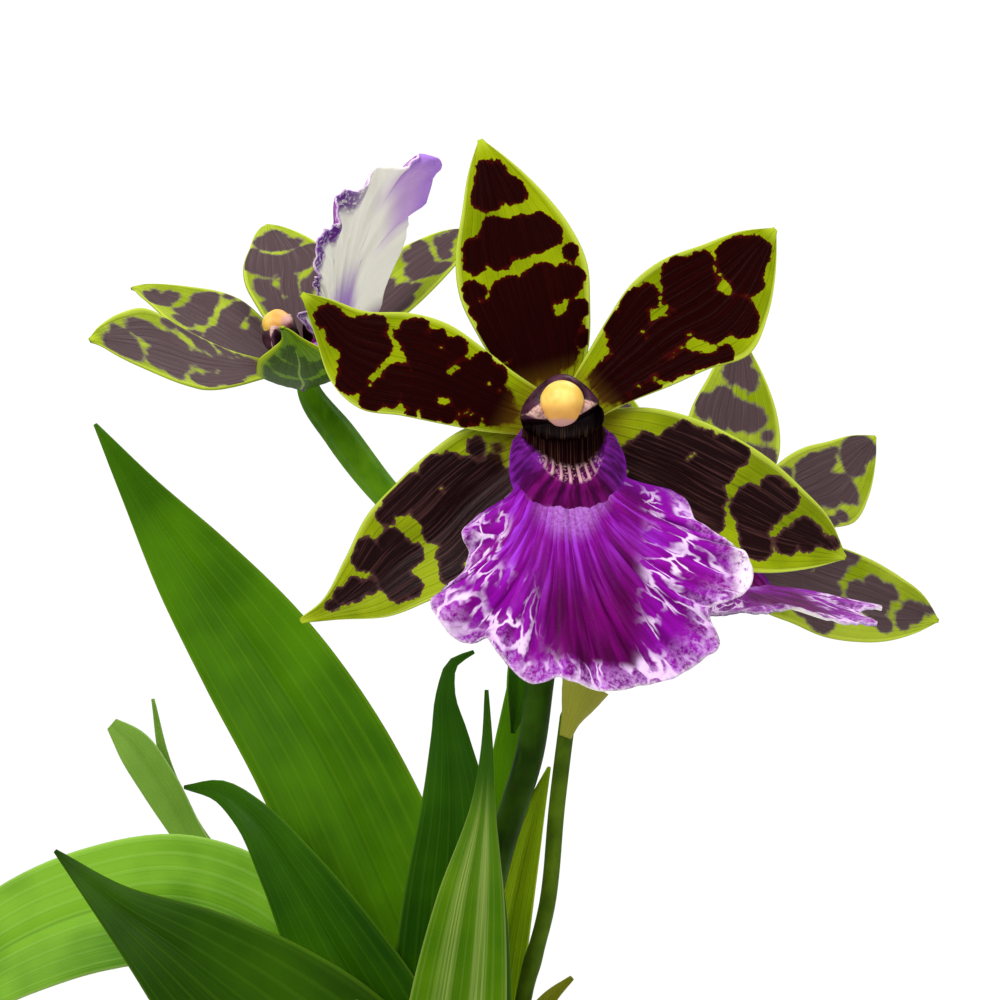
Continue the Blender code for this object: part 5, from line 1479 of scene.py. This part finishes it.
# The hollow's face: golden bristles on near-black, fading out under the hood, and near-black again deep in
# the hollow. This near-black is painted shade over the face's dark colour.
inside = blend(tree, times(tree, hair, ease(tree, up, 0.2, -0.9)), shade(16, 0, 3), shade(80, 56, 38))
inside = blend(tree, ease(tree, up, -1.6, -2.4), inside, shade(20, 0, 6))
skin = blend(tree, sunk, skin, inside)
tree.links.new(skin, shader.inputs["Base Color"])
tree.links.new(ease(tree, crumbs, 0.3, 0.7, 0.32, 0.44), shader.inputs["Roughness"])
raise_skin(tree, shader, work_out(tree, "ADD", clouds, times(tree, crumbs, 0.3)), 0.15)
for flower, (size, lean) in COLUMNS.items():
    name = f"{flower}_column"
    sides, hoop_count = (120, 100) if flower == "front" else (84, 70)
    post = column_mesh(name, FLOWERS[flower], size, lean, sides, hoop_count)
    column = new_piece(f"{name}_hood", post, column_finish)
    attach(column, "root")
    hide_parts(name)

# The anther cap is the waxy cream-yellow cap at the column's tip. It is a rounded helmet, broad
# above and drawn in below, with a pinkish beak under its lower edge.
CAP_RADIUS = 2.75
CAP_UP = 2.6
CAP_FORWARD = 10.0


def cap_mesh(name, flower, size, lean):
    """The helmet, a ball drawn in below to a short beak, with a faint groove down its face."""
    shape = bmesh.new()
    layer = shape.verts.layers.float_vector.new("place")
    bmesh.ops.create_uvsphere(shape, u_segments=56, v_segments=40, radius=1.0)
    for corner in shape.verts:
        x, y, z = corner.co
        groove = 0.03 * math.exp(-((x / 0.14) ** 2)) * max(0.0, z)
        lump = 1.0 + 0.03 * noise.noise(corner.co * 1.8) - groove
        low = max(0.0, -y - 0.55)
        aside = CAP_RADIUS * x * lump * (1 + 0.25 * low)
        up = CAP_UP + CAP_RADIUS * (y * lump * 0.94 - 0.75 * low**1.5)
        forward = CAP_FORWARD + CAP_RADIUS * z * lump * (0.95 - 0.6 * low)
        corner[layer] = (x, y, z)
        point = np.array(lean_back(aside, up, forward, lean))
        corner.co = Vector(stand(point * size, flower)) * MM
    return mesh_from(shape, name)


cap_finish, tree, shader = new_finish(
    "anther_cap", Roughness=0.42, Specular_IOR_Level=0.3, Subsurface_Weight=0.1, Subsurface_Scale=0.001)
_, up, _ = place_of(tree)
clouds = object_spots(tree, 500.0, 3.0)
wax = blend(tree, ease(tree, clouds, 0.3, 0.7), shade(226, 178, 74), shade(240, 202, 106))
# Deeper orange-brown over the lower half is painted shade under the rounded cap.
wax = blend(tree, times(tree, ease(tree, up, 0.1, -0.5), 0.6), wax, shade(206, 134, 52))
wax = blend(tree, ease(tree, up, -0.72, -0.88), wax, shade(196, 148, 136))
tree.links.new(wax, shader.inputs["Base Color"])
tree.links.new(ease(tree, clouds, 0.3, 0.7, 0.38, 0.5), shader.inputs["Roughness"])
raise_skin(tree, shader, clouds, 0.1)
for flower, (size, lean) in COLUMNS.items():
    name = f"{flower}_anther_cap"
    cap = new_piece(f"{name}_helmet", cap_mesh(name, FLOWERS[flower], size, lean), cap_finish)
    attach(cap, "root")
    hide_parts(name)

# The studio is a pale round floor that fades into a plain white surround, a large soft light
# above and in front, and weaker ones at the sides. The camera looks a little down on the flower.
FLOOR_RINGS = (900.0, 600.0, 300.0, 0.0)
FLOOR_HEIGHT = -0.05


def soft_light(name, spot, aim, width, power, tint=(1.0, 1.0, 1.0)):
    """A square soft light that faces the aimed point."""
    lamp = bpy.data.lights.new(name, "AREA")
    lamp.size = width
    lamp.energy = power
    lamp.color = tint
    light = bpy.data.objects.new(name, lamp)
    light.location = spot
    light.rotation_euler = (Vector(aim) - Vector(spot)).to_track_quat("-Z", "Y").to_euler()
    bpy.context.scene.collection.objects.link(light)


floor_finish, tree, shader = new_finish("floor_white", Roughness=0.9, Specular_IOR_Level=0.1)
where = add_node(tree, "ShaderNodeTexCoord").outputs["Object"]
away = add_node(tree, "ShaderNodeVectorMath", {0: where}, operation="LENGTH").outputs["Value"]
pale = blend(tree, object_spots(tree, 6.0, 2.0), shade(244, 244, 243), shade(250, 250, 250))
tree.links.new(pale, shader.inputs["Base Color"])
tree.links.new(ease(tree, away, 0.85, 0.3), shader.inputs["Alpha"])
floor_mesh = turned_mesh("floor", [(radius, FLOOR_HEIGHT) for radius in FLOOR_RINGS], 96)
floor = new_piece("floor", floor_mesh, floor_finish)

world = bpy.data.worlds.new("surround")
bpy.context.scene.world = world
world.use_nodes = True
tree = world.node_tree
ground = tree.nodes["Background"]
ground.inputs["Color"].default_value = (1.0, 1.0, 1.0, 1.0)
seen = add_node(tree, "ShaderNodeLightPath").outputs["Is Camera Ray"]
tree.links.new(ease(tree, seen, 0.0, 1.0, 0.45, 1.05), ground.inputs["Strength"])
PLANT = (0.0, -0.01, 0.26)
soft_light("key", (-0.35, -0.55, 0.95), PLANT, 0.6, 10.0)
soft_light("over", (0.25, 0.35, 1.0), PLANT, 0.6, 5.0)
soft_light("side", (0.8, -0.4, 0.45), PLANT, 0.5, 2.4)

bpy.context.scene.view_settings.view_transform = "Standard"
lens = bpy.data.cameras.new("camera")
lens.lens = 72.0
lens.sensor_width = 36.0
lens.clip_start = 0.001
camera = bpy.data.objects.new("camera", lens)
camera.location = (0.007, -0.2995, 0.3262)
camera.rotation_euler = (math.radians(82), 0.0, 0.0)
bpy.context.scene.collection.objects.link(camera)
bpy.context.scene.camera = camera
